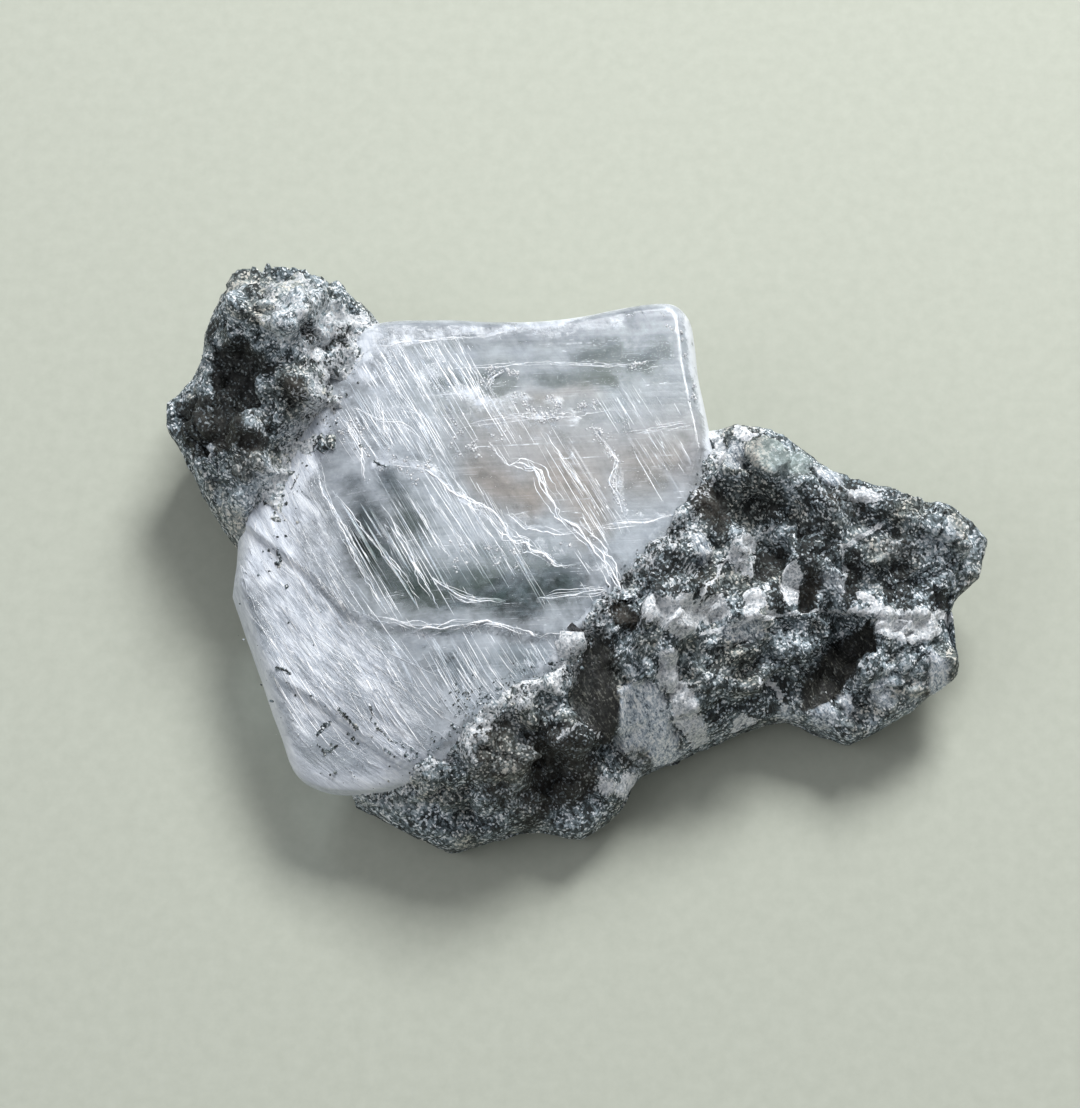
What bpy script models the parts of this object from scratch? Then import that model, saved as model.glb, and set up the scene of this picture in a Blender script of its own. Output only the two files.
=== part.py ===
"""A selenite specimen: one clear tabular gypsum crystal held in two masses of dark granular rock.

The specimen lies on its back. +X runs along its length, +Y towards its back edge, and +Z up through
the crystal's broad face. The origin is at the middle of the base. Shapes are worked out in millimetres,
from a datum on the broad face, and turned to metres about the middle where a mesh is made.
"""

import math

import bmesh
import bpy
import numpy as np
from mathutils import Vector
from mathutils.geometry import delaunay_2d_cdt

MM = 0.001

# ---------------------------------------------------------------- driving dimensions, in millimetres

MIDDLE = (-0.1, 0.7)  # the middle of the base, from the datum
FACE_HEIGHT = 18.0  # the crystal's broad face above the base
CRYSTAL_THICKNESS = 9.0
LEFT_EDGE_DROP = 5.0  # how far the face rolls down towards the weathered left edge
LEFT_EDGE_DEEPENS = 5.5  # how much lower the crystal's back lies under that edge
CRYSTAL_EDGE_RADIUS = 2.0
FRONT_DROP = 3.0  # the same towards the front edge, left of the middle
CLEAVED_STEP = 0.6  # a layer that has split off the weathered side of the face
CLEAVED_WIDTH = 0.4  # how wide in plan the broken edge of that layer is
ROCK_SHOULDER = 7.0  # how far in from its outline the rock reaches its full height
ROCK_UNDERCUT = 8.0  # the same for its underside
BELOW_BASE = -4.0  # how deep the rock is worked before the base cuts it flat
FREE_END_LIFT = 9.0  # how much higher the underside lies at the ledge's free right-hand end
SOCKET_GAP = 0.35  # free space between the crystal and the rock
BED_GAP = 0.6  # free space under the crystal where the rock runs on beneath it
RAMP_WIDTH = 3.5  # how far under the crystal's border the rock falls away

# Each rib crosses a body from its front outline to its back outline: x, y and height of both ends.
CRYSTAL_RIBS = (
    (-35.4, -3.5, 8.0, -34.8, 5.0, 9.5),
    (-33.2, -9.6, 8.0, -31.5, 12.5, 12.0),
    (-30.2, -18.0, 8.0, -27.0, 19.5, 13.0),
    (-27.8, -23.0, 8.5, -21.5, 24.0, 13.5),
    (-22.5, -24.8, 9.5, -14.4, 24.7, 13.5),
    (-15.5, -24.0, 11.0, -9.0, 24.5, 13.5),
    (-9.9, -20.8, 12.0, -4.5, 24.5, 13.5),
    (-5.4, -17.4, 13.0, 0.0, 25.0, 13.5),
    (-1.4, -14.2, 13.5, 4.0, 25.9, 13.5),
    (1.4, -10.0, 13.5, 7.4, 26.5, 13.5),
    (4.4, -6.4, 13.5, 10.2, 26.4, 13.5),
    (7.8, -3.0, 13.5, 11.9, 24.8, 13.5),
    (10.9, 0.7, 13.5, 12.4, 22.0, 13.5),
    (13.0, 4.8, 13.5, 12.7, 18.5, 13.5),
    (14.3, 9.0, 13.5, 13.3, 15.0, 13.5),
)
KNOB_RIBS = (
    (-42.6, 14.6, 11.5, -42.5, 16.6, 12.0),
    (-40.7, 11.2, 11.0, -40.7, 18.2, 12.0),
    (-39.3, 8.8, 11.0, -39.3, 21.0, 12.0),
    (-37.8, 6.2, 11.0, -38.9, 24.2, 12.0),
    (-36.0, 3.4, 11.0, -37.9, 27.2, 12.0),
    (-33.6, 1.0, 9.0, -36.0, 29.0, 12.0),
    (-30.5, -0.4, 6.0, -33.2, 29.8, 12.0),
    (-26.5, -0.2, 5.0, -29.8, 29.6, 12.5),
    (-22.5, 2.2, 5.0, -26.8, 28.8, 13.0),
    (-19.0, 5.5, 5.0, -23.8, 27.8, 13.5),
    (-17.0, 10.0, 5.0, -20.8, 26.0, 12.0),
    (-16.0, 15.0, 5.0, -18.2, 23.0, 6.0),
)
LEDGE_RIBS = (
    (-22.6, -24.4, 5.0, -22.9, -22.4, 5.0),
    (-20.1, -25.7, 5.0, -22.0, -18.6, 4.5),
    (-16.0, -27.8, 5.0, -19.5, -12.0, 4.0),
    (-12.4, -29.0, 4.5, -16.0, -6.0, 4.0),
    (-8.0, -27.9, 4.5, -10.0, -2.0, 4.0),
    (-3.8, -27.0, 4.5, -4.0, 0.0, 4.0),
    (0.8, -27.6, 4.5, 1.0, 1.5, 4.0),
    (4.2, -25.0, 4.5, 5.0, 3.5, 4.0),
    (6.4, -21.6, 5.0, 8.5, 7.0, 6.0),
    (9.6, -20.0, 5.0, 12.0, 11.8, 12.0),
    (15.5, -17.2, 5.0, 16.0, 13.0, 14.0),
    (20.8, -15.6, 5.5, 20.2, 12.2, 14.0),
    (25.0, -16.8, 5.5, 24.0, 9.2, 13.5),
    (28.4, -17.9, 5.5, 27.4, 7.6, 13.0),
    (32.7, -15.8, 6.0, 30.8, 6.6, 12.5),
    (35.7, -13.9, 6.5, 33.6, 6.0, 12.0),
    (38.8, -11.2, 7.5, 36.0, 5.6, 11.5),
    (38.0, -5.6, 9.0, 39.2, 5.0, 11.0),
    (41.4, -2.0, 10.0, 42.2, 2.0, 10.5),
)

# Where the crystal's border meets the rock on the broad face. The rock stands on the right-hand side
# of each line and runs on, lower, beneath the crystal.
LEDGE_BORDER = ((-30.0, -24.0), *(rib[:2] for rib in CRYSTAL_RIBS[4:]), (13.0, 30.0))
KNOB_BORDER = ((-17.5, 29.4), (-34.4, -2.5))

# The edge of the split layer: the face is lower on its right-hand side, towards the front left.
CLEAVED_LINE = (
    (-34.0, 3.0),
    (-27.5, -2.5),
    (-22.8, -7.7),
    (-18.7, -9.7),
    (-13.8, -10.4),
    (-9.4, -9.9),
    (-4.9, -11.2),
    (-1.6, -11.0),
    (2.5, -8.8),
)

# Spot heights of the rock's upper surface: x, y and height. The surface runs smoothly between them.
KNOB_SPOTS = (
    (-42.0, 15.7, 12.5),
    (-38.1, 12.4, 15.5),
    (-37.6, 6.0, 13.5),
    (-34.6, 3.1, 16.5),
    (-38.3, 21.1, 17.5),
    (-36.2, 25.3, 20.5),
    (-33.0, 27.5, 22.0),
    (-29.5, 27.5, 23.0),
    (-28.4, 21.0, 25.5),
    (-25.0, 23.2, 23.0),
    (-22.0, 25.0, 20.0),
    (-33.3, 17.5, 19.0),
    (-32.8, 13.5, 18.0),
    (-35.9, 15.5, 17.0),
    (-30.0, 13.2, 21.0),
    (-27.6, 15.2, 23.0),
    (-31.5, 22.5, 24.0),
    (-34.1, 9.0, 19.5),
    (-30.9, 8.7, 20.0),
    (-33.5, 4.5, 18.0),
)
LEDGE_SPOTS = (
    (-21.3, -25.0, 8.0),
    (-17.7, -26.5, 10.0),
    (-12.7, -24.8, 13.0),
    (-12.3, -28.0, 9.0),
    (-7.7, -22.8, 14.5),
    (-6.0, -26.2, 10.0),
    (-2.4, -22.8, 8.0),
    (1.3, -26.0, 7.0),
    (4.7, -22.8, 11.5),
    (-0.8, -19.8, 15.0),
    (0.6, -16.4, 14.0),
    (1.6, -14.0, 15.5),
    (3.6, -12.8, 19.0),
    (4.4, -16.6, 17.0),
    (4.8, -9.6, 20.5),
    (7.8, -15.2, 15.5),
    (7.3, -19.4, 11.0),
    (10.4, -19.0, 10.0),
    (10.4, -15.0, 16.0),
    (12.4, -17.2, 14.0),
    (9.1, -11.2, 18.0),
    (10.4, -4.7, 19.0),
    (13.5, 2.6, 19.5),
    (16.5, 5.5, 18.0),
    (20.2, 8.2, 21.0),
    (16.6, 11.0, 19.0),
    (25.6, 5.8, 19.5),
    (30.5, 4.4, 18.5),
    (36.5, 3.0, 17.0),
    (41.0, 1.2, 13.0),
    (15.5, -1.6, 18.5),
    (18.8, 0.8, 15.5),
    (22.8, -0.8, 17.5),
    (29.6, -1.2, 16.0),
    (36.2, -1.4, 15.0),
    (16.0, -7.0, 16.0),
    (22.3, -6.6, 14.0),
    (29.0, -5.4, 13.2),
    (34.0, -6.6, 14.0),
    (16.3, -12.2, 14.5),
    (22.3, -11.8, 13.8),
    (27.0, -9.3, 8.5),
    (25.2, -12.6, 7.5),
    (31.6, -11.6, 13.0),
    (32.0, -14.4, 11.5),
    (36.0, -11.0, 12.0),
    (28.4, -16.2, 9.5),
    (21.6, -15.2, 10.0),
    (18.3, -15.6, 12.0),
)

# Broken faces and grain of the rock: cell size, relief and seed of each layer.
ROCK_LAYERS = ((6.5, 2.4, 11), (2.8, 1.1, 23))
OUTLINE_RELIEF = 0.4  # share of that relief that moves the outline in plan
FLANK_RELIEF = 0.6  # share of that relief that moves the steep flanks in and out

# Facets of each body: spacing along the outline, the insets of the rings that follow it, and spacing
# of the points over the upper side and the under side.
CRYSTAL_FACETS = (2.6, (0.25, 0.9, 2.0), 5.0, 6.0)
ROCK_FACETS = (1.7, (0.3, 0.9), 1.45, 2.2)


# ---------------------------------------------------------------- shape rules


def through(points, t):
    """Points at t (0 to 1) on the Catmull-Rom curve through the given points, evenly numbered."""
    points = np.asarray(points, float)
    place = np.clip(np.asarray(t, float), 0, 1) * (len(points) - 1)
    k = np.minimum(place.astype(int), len(points) - 2)
    s = (place - k)[:, None]
    before, start = points[np.maximum(k - 1, 0)], points[k]
    end, after = points[k + 1], points[np.minimum(k + 2, len(points) - 1)]
    return 0.5 * (
        2 * start
        + (end - before) * s
        + (2 * before - 5 * start + 4 * end - after) * s**2
        + (3 * start - before - 3 * end + after) * s**3
    )


def eased(low, high, x):
    """0 below low and 1 above high, with a smooth S between."""
    s = np.clip((x - low) / (high - low), 0, 1)
    return s * s * (3 - 2 * s)


def evenly(points, spacing):
    """Points about a spacing apart along a line of points, from its first to its last."""
    points = np.asarray(points, float)
    run = np.concatenate([[0], np.cumsum(np.linalg.norm(np.diff(points[:, :2], axis=0), axis=1))])
    places = np.linspace(0, run[-1], max(int(round(run[-1] / spacing)), 1) + 1)
    return np.stack([np.interp(places, run, points[:, k]) for k in range(points.shape[1])], axis=1)


def line_distance(xy, line):
    """Distance from each point to a line of points, positive on its right-hand side."""
    line = np.asarray(line, float)
    start, along = line[:-1], np.diff(line, axis=0)
    offset = xy[:, None, :] - start
    share = np.clip((offset * along).sum(2) / np.maximum((along**2).sum(1), 1e-12), 0, 1)
    gap = offset - share[..., None] * along
    distance = np.hypot(gap[..., 0], gap[..., 1])
    nearest = distance.argmin(1)
    rows = np.arange(len(xy))
    a, g = along[nearest], gap[rows, nearest]
    side = np.sign(g[:, 0] * a[:, 1] - g[:, 1] * a[:, 0])
    return distance[rows, nearest] * side


def spot_height(xy, spots):
    """Height at each point by inverse-distance weights to the spot heights, rounded near each spot."""
    spots = np.asarray(spots, float)
    gap2 = ((xy[:, None, :] - spots[:, :2]) ** 2).sum(2)
    weight = 1 / (gap2 + 1.0) ** 2
    return (weight * spots[:, 2]).sum(1) / weight.sum(1)


def cell_random(cell, seed):
    """Three repeatable random numbers from 0 to 1 for each whole-numbered cell."""
    mixed = cell @ np.array([127.1, 311.7, 74.7]) + seed * 53.3
    return np.modf(np.abs(np.sin(mixed[..., None] * np.array([1.0, 1.7, 2.3])) * 43758.5453))[0]


def broken_faces(points, size, seed):
    """Each cell of space about size across carries its own tilted plane. Returns the height of the
    planes at each point, from -1 to 1, blended over a narrow border between cells."""
    scaled = points / size
    base = np.floor(scaled)
    total = np.zeros(len(points))
    weights = np.zeros(len(points))
    for corner in np.ndindex(3, 3, 3):
        cell = base + (np.array(corner) - 1)
        centre = cell + 0.15 + 0.7 * cell_random(cell, seed)
        gap = scaled - centre
        tilt = 2 * cell_random(cell, seed + 7) - 1
        weight = np.exp(-9 * (gap**2).sum(1))
        total += weight * (gap * tilt).sum(1)
        weights += weight
    return total / (weights + 1e-12)


def relief_at(points, layers):
    """The sum of the layers of broken faces at each point, in millimetres."""
    total = np.zeros(len(points))
    for size, relief, seed in layers:
        total += relief * broken_faces(points, size, seed)
    return total


# ---------------------------------------------------------------- heights of the three bodies


def crystal_heights(xy):
    """Upper and under side of the crystal: flat, rolling down and growing deeper to the left."""
    left = eased(-14.0, -36.0, xy[:, 0] + 0.25 * xy[:, 1])
    front = eased(-12.0, -28.0, xy[:, 1]) * eased(0.0, -16.0, xy[:, 0])
    split = eased(0.0, CLEAVED_WIDTH, line_distance(xy, CLEAVED_LINE))
    upper = FACE_HEIGHT - LEFT_EDGE_DROP * left - FRONT_DROP * front - CLEAVED_STEP * split
    under = FACE_HEIGHT - CRYSTAL_THICKNESS - LEFT_EDGE_DEEPENS * np.maximum(left, 0.5 * front)
    return upper, under


def rock_upper(xy, spots, border):
    """Spot heights outside the crystal's border, easing down to the bed under the crystal inside."""
    outside = eased(-RAMP_WIDTH, 0.5, line_distance(xy, border))
    bed = crystal_heights(xy)[1] - BED_GAP
    return bed + (spot_height(xy, spots) - bed) * outside


def knob_heights(xy):
    """Upper side of the knob, and an underside that is cut flat by the base."""
    return rock_upper(xy, KNOB_SPOTS, KNOB_BORDER), np.full(len(xy), BELOW_BASE)


def ledge_heights(xy):
    """Upper side of the ledge, and an underside that rises under its free right-hand end."""
    lift = FREE_END_LIFT * eased(26.0, 38.0, xy[:, 0])
    return rock_upper(xy, LEDGE_SPOTS, LEDGE_BORDER), BELOW_BASE + lift


# ---------------------------------------------------------------- building


def rim_of(ribs, spacing):
    """The body's closed plan outline, anticlockwise from the left end's front corner, with heights."""
    t = np.linspace(0, 1, 400)
    front = evenly(through([rib[:3] for rib in ribs], t), spacing)
    back = evenly(through([rib[3:] for rib in ribs], t), spacing)
    right = evenly([front[-1], back[-1]], spacing)
    left = evenly([back[0], front[0]], spacing)
    return np.vstack([front[:-1], right[:-1], back[:0:-1], left[:-1]])


def ring_inside(rim, depth):
    """A ring of points a depth inside the rim, mitred at its corners. A negative depth is outside."""
    before = rim[:, :2] - np.roll(rim[:, :2], 1, axis=0)
    before /= np.linalg.norm(before, axis=1)[:, None]
    after = np.roll(before, -1, axis=0)
    bisector = (before + after) / 2
    inwards = np.stack([-bisector[:, 1], bisector[:, 0]], axis=1)
    mitre = inwards / np.maximum((bisector**2).sum(1), 0.3)[:, None]
    return rim[:, :2] + np.reshape(depth, (-1, 1)) * mitre


def beside(line, offset):
    """A line of points shifted to its right-hand side."""
    along = np.gradient(line, axis=0)
    to_right = np.stack([along[:, 1], -along[:, 0]], axis=1)
    return line + offset * to_right / np.linalg.norm(along, axis=1)[:, None]


def inset_of(xy, rim):
    """How far each point lies inside the rim, negative outside."""
    closed = np.vstack([rim[:, :2], rim[:1, :2]])
    distance = np.abs(line_distance(xy, closed))
    x, y = xy[:, 0, None], xy[:, 1, None]
    x0, y0, x1, y1 = closed[:-1, 0], closed[:-1, 1], closed[1:, 0], closed[1:, 1]
    spans = (y0 > y) != (y1 > y)
    across = x0 + (y - y0) * (x1 - x0) / np.where(y1 == y0, 1e-12, y1 - y0)
    inside = (spans & (x < across)).sum(1) % 2 == 1
    return np.where(inside, distance, -distance)


def scattered_inside(rim, spacing, deepest_ring, seed):
    """Points of an uneven triangular lattice inside the deepest ring."""
    low, high = rim[:, :2].min(0), rim[:, :2].max(0)
    rows, columns = np.ceil((high - low)[::-1] / (spacing * np.array([0.866, 1.0]))).astype(int) + 1
    row, column = (axis.ravel() for axis in np.mgrid[0:rows, 0:columns])
    lattice = np.stack([column + 0.5 * (row % 2), 0.866 * row], axis=1) * spacing + low
    cell = np.stack([column, row, np.zeros_like(row)], axis=1)
    lattice += (cell_random(cell, seed)[:, :2] - 0.5) * 0.5 * spacing
    return lattice[inset_of(lattice, rim) > deepest_ring + 0.5 * spacing]


def side_faces(rim, xy):
    """The rim's points with the points inside it, and the triangles between them within the rim."""
    points = [Vector(p) for p in np.vstack([rim[:, :2], xy])]
    around = [(k, (k + 1) % len(rim)) for k in range(len(rim))]
    plan, _, faces, *_ = delaunay_2d_cdt(points, around, [], 0, 1e-6, False)
    plan = np.array([tuple(p) for p in plan])
    faces = np.array(faces)
    return plan, faces[inset_of(plan[faces].mean(1), rim) > 0].tolist()


def crease_points(crease, spacing, rim, clearance):
    """Two rows of points that hold a step in the surface to its width."""
    ridge = evenly(crease, spacing)
    pair = np.vstack([beside(ridge, -0.1), beside(ridge, CLEAVED_WIDTH + 0.1)])
    return pair[inset_of(pair, rim) > clearance]


def side_heights(plan, rim, full_height, reach, layers):
    """Each side leaves the outline's own height steeply and reaches its full height a set distance
    in, along a quarter of an ellipse. The layers of broken faces move it up and down."""
    nearest = ((plan[:, None, :] - rim[:, :2]) ** 2).sum(2).argmin(1)
    inset = np.clip(inset_of(plan, rim), 0, None)
    inset[: len(rim)] = 0
    rise = np.sqrt(1 - (1 - np.clip(inset / reach, 0, 1)) ** 2)
    height = rim[nearest, 2] * (1 - rise) + full_height * rise
    return height + rise * relief_at(np.column_stack([plan, height]), layers)


def body_mesh(name, ribs, facets, heights, reaches, layers=(), crease=None):
    """A closed body over its plan outline, which the layers of broken faces move in and out. Its two
    sides are triangulated apart and share the rim. Facets of the upper side meet along the crease."""
    along_rim, depths, *spacings = facets
    rim = rim_of(ribs, along_rim)
    rim[:, :2] = ring_inside(rim, OUTLINE_RELIEF * relief_at(rim, layers))
    rings = [ring_inside(rim, depth) for depth in depths]
    rings = [ring[inset_of(ring, rim) > 0.85 * depth] for ring, depth in zip(rings, depths)]
    bm = bmesh.new()
    for side, (spacing, reach) in enumerate(zip(spacings, reaches)):
        inner = scattered_inside(rim, spacing, depths[-1], 3 + side)
        if crease is not None and side == 0:
            inner = inner[np.abs(line_distance(inner, crease)) > along_rim]
            pair = crease_points(crease, along_rim, rim, depths[-1] + 0.4)
            inner = np.vstack([inner, pair])
        plan, faces = side_faces(rim, np.vstack([*rings, inner]))
        height = side_heights(plan, rim, heights(plan)[side], reach, layers)
        corners = [bm.verts.new(p) for p in np.column_stack([plan - MIDDLE, height]) * MM]
        for face in faces:
            bm.faces.new([corners[k] for k in (face if side == 0 else face[::-1])])
    bmesh.ops.remove_doubles(bm, verts=bm.verts, dist=1e-6)
    bmesh.ops.recalc_face_normals(bm, faces=bm.faces)
    mesh = bpy.data.meshes.new(name)
    bm.to_mesh(mesh)
    bm.free()
    return mesh


def break_flanks(mesh, layers):
    """Pushes the steep flanks in and out, level, by the layers of broken faces."""
    count = len(mesh.vertices)
    points = np.empty(count * 3)
    normals = np.empty(count * 3)
    mesh.vertices.foreach_get("co", points)
    mesh.vertices.foreach_get("normal", normals)
    points = points.reshape(-1, 3) / MM
    level = normals.reshape(-1, 3) * (1, 1, 0)
    points += FLANK_RELIEF * level * relief_at(points, layers)[:, None]
    mesh.vertices.foreach_set("co", (points * MM).ravel())
    mesh.update()


def cut_flat_base(mesh):
    """Cuts the rock off at the base plane and closes the cut with one flat face."""
    bm = bmesh.new()
    bm.from_mesh(mesh)
    everything = bm.verts[:] + bm.edges[:] + bm.faces[:]
    cut = bmesh.ops.bisect_plane(
        bm, geom=everything, plane_co=(0, 0, 0), plane_no=(0, 0, -1), clear_outer=True
    )
    edges = [e for e in cut["geom_cut"] if isinstance(e, bmesh.types.BMEdge)]
    bmesh.ops.triangle_fill(bm, edges=edges, use_dissolve=False, use_beauty=True)
    bmesh.ops.triangulate(bm, faces=bm.faces)
    bmesh.ops.recalc_face_normals(bm, faces=bm.faces)
    bm.to_mesh(mesh)
    bm.free()


def material(name, colour, roughness, transmission=0.0):
    made = bpy.data.materials.new(name)
    made.use_nodes = True
    shader = made.node_tree.nodes["Principled BSDF"]
    shader.inputs["Base Color"].default_value = (*colour, 1.0)
    shader.inputs["Roughness"].default_value = roughness
    shader.inputs["Transmission Weight"].default_value = transmission
    shader.inputs["IOR"].default_value = 1.52
    return made


def place(name, mesh, finish):
    """Adds a body to the scene, shaded smooth but for its sharp breaks."""
    body = bpy.data.objects.new(name, mesh)
    bpy.context.scene.collection.objects.link(body)
    mesh.materials.append(finish)
    mesh.shade_smooth()
    mesh.set_sharp_from_angle(angle=math.radians(40))
    return body


def socket_cutter(crystal):
    """The crystal grown by the gap all round, as a hidden cutter."""
    cutter = crystal.copy()
    cutter.data = crystal.data.copy()
    cutter.name = "socket_cutter"
    bpy.context.scene.collection.objects.link(cutter)
    grow = cutter.modifiers.new("grow", "DISPLACE")
    grow.strength = SOCKET_GAP * MM
    grow.mid_level = 0.0
    cutter.hide_render = True
    cutter.display_type = "WIRE"
    return cutter


def cut_socket(body, cutter):
    """Opens the place in the rock where the crystal sits."""
    socket = body.modifiers.new("socket", "BOOLEAN")
    socket.operation = "DIFFERENCE"
    socket.solver = "EXACT"
    socket.object = cutter


def main():
    for obj in list(bpy.data.objects):
        bpy.data.objects.remove(obj)
    selenite = material("selenite", (0.80, 0.83, 0.86), 0.15, transmission=1.0)
    rock = material("host_rock", (0.10, 0.11, 0.11), 0.75)

    crystal_mesh = body_mesh(
        "selenite_crystal",
        CRYSTAL_RIBS,
        CRYSTAL_FACETS,
        crystal_heights,
        (CRYSTAL_EDGE_RADIUS, CRYSTAL_EDGE_RADIUS),
        crease=CLEAVED_LINE,
    )
    crystal = place("selenite_crystal", crystal_mesh, selenite)
    cutter = socket_cutter(crystal)

    for name, ribs, heights in (
        ("matrix_knob", KNOB_RIBS, knob_heights),
        ("matrix_ledge", LEDGE_RIBS, ledge_heights),
    ):
        mesh = body_mesh(name, ribs, ROCK_FACETS, heights, (ROCK_SHOULDER, ROCK_UNDERCUT), ROCK_LAYERS)
        break_flanks(mesh, ROCK_LAYERS)
        cut_flat_base(mesh)
        cut_socket(place(name, mesh, rock), cutter)


main()
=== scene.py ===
"""The looks of a selenite specimen: a clear tabular gypsum crystal, milky and fibrous at its weathered
side, grown into two masses of dark granular rock.

Shapes are worked out in millimetres from a datum on the crystal's broad face and turned to metres about
the middle of the base where a mesh is made. +X runs along the specimen and +Z up through the broad face.
"""

import math

import bpy
import numpy as np
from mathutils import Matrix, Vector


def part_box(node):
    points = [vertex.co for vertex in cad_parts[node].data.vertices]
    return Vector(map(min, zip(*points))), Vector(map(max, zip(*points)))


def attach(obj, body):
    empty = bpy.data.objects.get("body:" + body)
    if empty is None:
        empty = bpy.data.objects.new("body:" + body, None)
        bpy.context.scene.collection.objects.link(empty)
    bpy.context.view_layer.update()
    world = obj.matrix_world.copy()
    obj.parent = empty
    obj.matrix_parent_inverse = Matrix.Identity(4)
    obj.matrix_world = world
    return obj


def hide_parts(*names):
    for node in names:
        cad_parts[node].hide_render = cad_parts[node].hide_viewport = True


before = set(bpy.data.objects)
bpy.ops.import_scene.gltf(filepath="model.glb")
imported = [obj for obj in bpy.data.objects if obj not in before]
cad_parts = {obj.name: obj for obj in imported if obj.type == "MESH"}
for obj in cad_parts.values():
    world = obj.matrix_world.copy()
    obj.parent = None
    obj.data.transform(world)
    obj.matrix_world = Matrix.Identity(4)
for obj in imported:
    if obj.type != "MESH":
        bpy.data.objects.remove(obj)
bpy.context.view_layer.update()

MM = 0.001

# ---------------------------------------------------------------- driving dimensions, in millimetres

MIDDLE = (-0.1, 0.7)  # the middle of the base, from the datum
FACE_HEIGHT = 18.0  # the crystal's broad face above the base
CRYSTAL_THICKNESS = 9.0
CRYSTAL_EDGE_RADIUS = 2.0
LEFT_EDGE_DROP = 5.0  # how far the face rolls down towards the weathered left edge
LEFT_ROLL = (-14.0, -36.0)  # where it starts and ends to, as X + LEFT_SLANT Y
LEFT_SLANT = 0.25
LEFT_EDGE_DEEPENS = 5.5  # how much lower the crystal's back lies under that edge
FRONT_DROP = 3.0  # how far the face rolls down towards the front edge, left of the middle
FRONT_ROLL = (-12.0, -28.0)  # where it starts and ends to, in Y
FRONT_FADE = (0.0, -16.0)  # where that roll sets in and is full, in X
FRONT_DEEPENS = 0.5  # the share of the left edge's deepening under the front edge
CLEAVED_STEP = 0.6  # a layer that has split off the weathered side of the face
CLEAVED_WIDTH = 0.4  # how wide in plan the broken edge of that layer is
ROCK_SHOULDER = 7.0  # how far in from its outline the rock reaches its full height
ROCK_UNDERCUT = 8.0  # the same for its underside
BELOW_BASE = -4.0  # how deep the rock is worked before the base cuts it flat
FREE_END_LIFT = 9.0  # how much higher the underside lies at the ledge's free right-hand end
FREE_END = (26.0, 38.0)  # where it starts and ends to rise, in X
BED_GAP = 0.6  # free space under the crystal where the rock runs on beneath it
ROCK_EDGE = (-2.3, -0.7)  # how far inside the crystal's border the rock starts and ends its rise
FLUSH_WIDTH = 2.1  # how far from the border the rock grades into the crystal's face
FLUSH_LIFT = 0.25  # how far it stands above the face there
LIFT_SOFTNESS = 0.6  # how far to each side the edge of a raised or sunken patch eases
FACET_SOFTNESS = 0.5  # the same for the edge of a flat facet

# Each rib crosses a body from its front outline to its back outline: x, y and height of both ends.
CRYSTAL_RIBS = (
    (-35.4, -3.5, 8.0, -34.8, 5.0, 9.5), (-33.2, -9.6, 8.0, -31.5, 12.5, 12.0),
    (-30.2, -18.0, 8.0, -27.0, 19.5, 13.0), (-27.8, -23.0, 8.5, -21.5, 24.0, 13.5),
    (-22.5, -24.8, 9.5, -14.4, 24.7, 13.5), (-15.5, -24.0, 11.0, -9.0, 24.5, 13.5),
    (-9.9, -20.8, 12.0, -4.5, 24.5, 13.5), (-5.4, -17.4, 13.0, 0.0, 25.0, 13.5),
    (-1.4, -14.2, 13.5, 4.0, 25.9, 13.5), (1.4, -10.0, 13.5, 7.4, 26.5, 13.5),
    (4.4, -6.4, 13.5, 10.2, 26.4, 13.5), (7.8, -3.0, 13.5, 11.9, 24.8, 13.5),
    (10.9, 0.7, 13.5, 12.4, 22.0, 13.5), (13.0, 4.8, 13.5, 12.7, 18.5, 13.5),
    (14.3, 9.0, 13.5, 13.3, 15.0, 13.5),
)
KNOB_RIBS = (
    (-42.6, 14.6, 11.5, -42.5, 16.6, 12.0), (-40.7, 11.2, 11.0, -40.7, 18.2, 12.0),
    (-39.3, 8.8, 11.0, -39.3, 21.0, 12.0), (-37.8, 6.2, 11.0, -38.9, 24.2, 12.0),
    (-36.0, 3.4, 11.0, -37.9, 27.2, 12.0), (-33.6, 1.0, 9.0, -36.0, 29.0, 12.0),
    (-30.5, -0.4, 6.0, -33.2, 29.8, 12.0), (-26.5, -0.2, 5.0, -29.8, 29.6, 12.5),
    (-22.5, 2.2, 5.0, -26.8, 28.8, 13.0), (-19.0, 5.5, 5.0, -23.8, 27.8, 13.5),
    (-17.0, 10.0, 5.0, -20.8, 26.0, 12.0), (-16.0, 15.0, 5.0, -18.2, 23.0, 6.0),
)
LEDGE_RIBS = (
    (-22.6, -24.4, 5.0, -22.9, -22.4, 5.0), (-20.1, -25.7, 5.0, -22.0, -18.6, 4.5),
    (-16.0, -27.8, 5.0, -19.5, -12.0, 4.0), (-12.4, -29.0, 4.5, -16.0, -6.0, 4.0),
    (-8.0, -27.9, 4.5, -10.0, -2.0, 4.0), (-3.8, -27.0, 4.5, -4.0, 0.0, 4.0),
    (0.8, -27.6, 4.5, 1.0, 1.5, 4.0), (4.2, -25.0, 4.5, 5.0, 3.5, 4.0), (6.4, -21.6, 5.0, 8.5, 7.0, 6.0),
    (9.6, -20.0, 5.0, 12.0, 11.8, 12.0), (15.5, -17.2, 5.0, 16.0, 13.0, 14.0),
    (20.8, -15.6, 5.5, 20.2, 12.2, 14.0), (25.0, -16.8, 5.5, 24.0, 9.2, 13.5),
    (28.4, -17.9, 5.5, 27.4, 7.6, 13.0), (32.7, -15.8, 6.0, 30.8, 6.6, 12.5),
    (35.7, -13.9, 6.5, 33.6, 6.0, 12.0), (38.8, -11.2, 7.5, 36.0, 5.6, 11.5),
    (38.0, -5.6, 9.0, 39.2, 5.0, 11.0), (41.4, -2.0, 10.0, 42.2, 2.0, 10.5),
)

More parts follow.
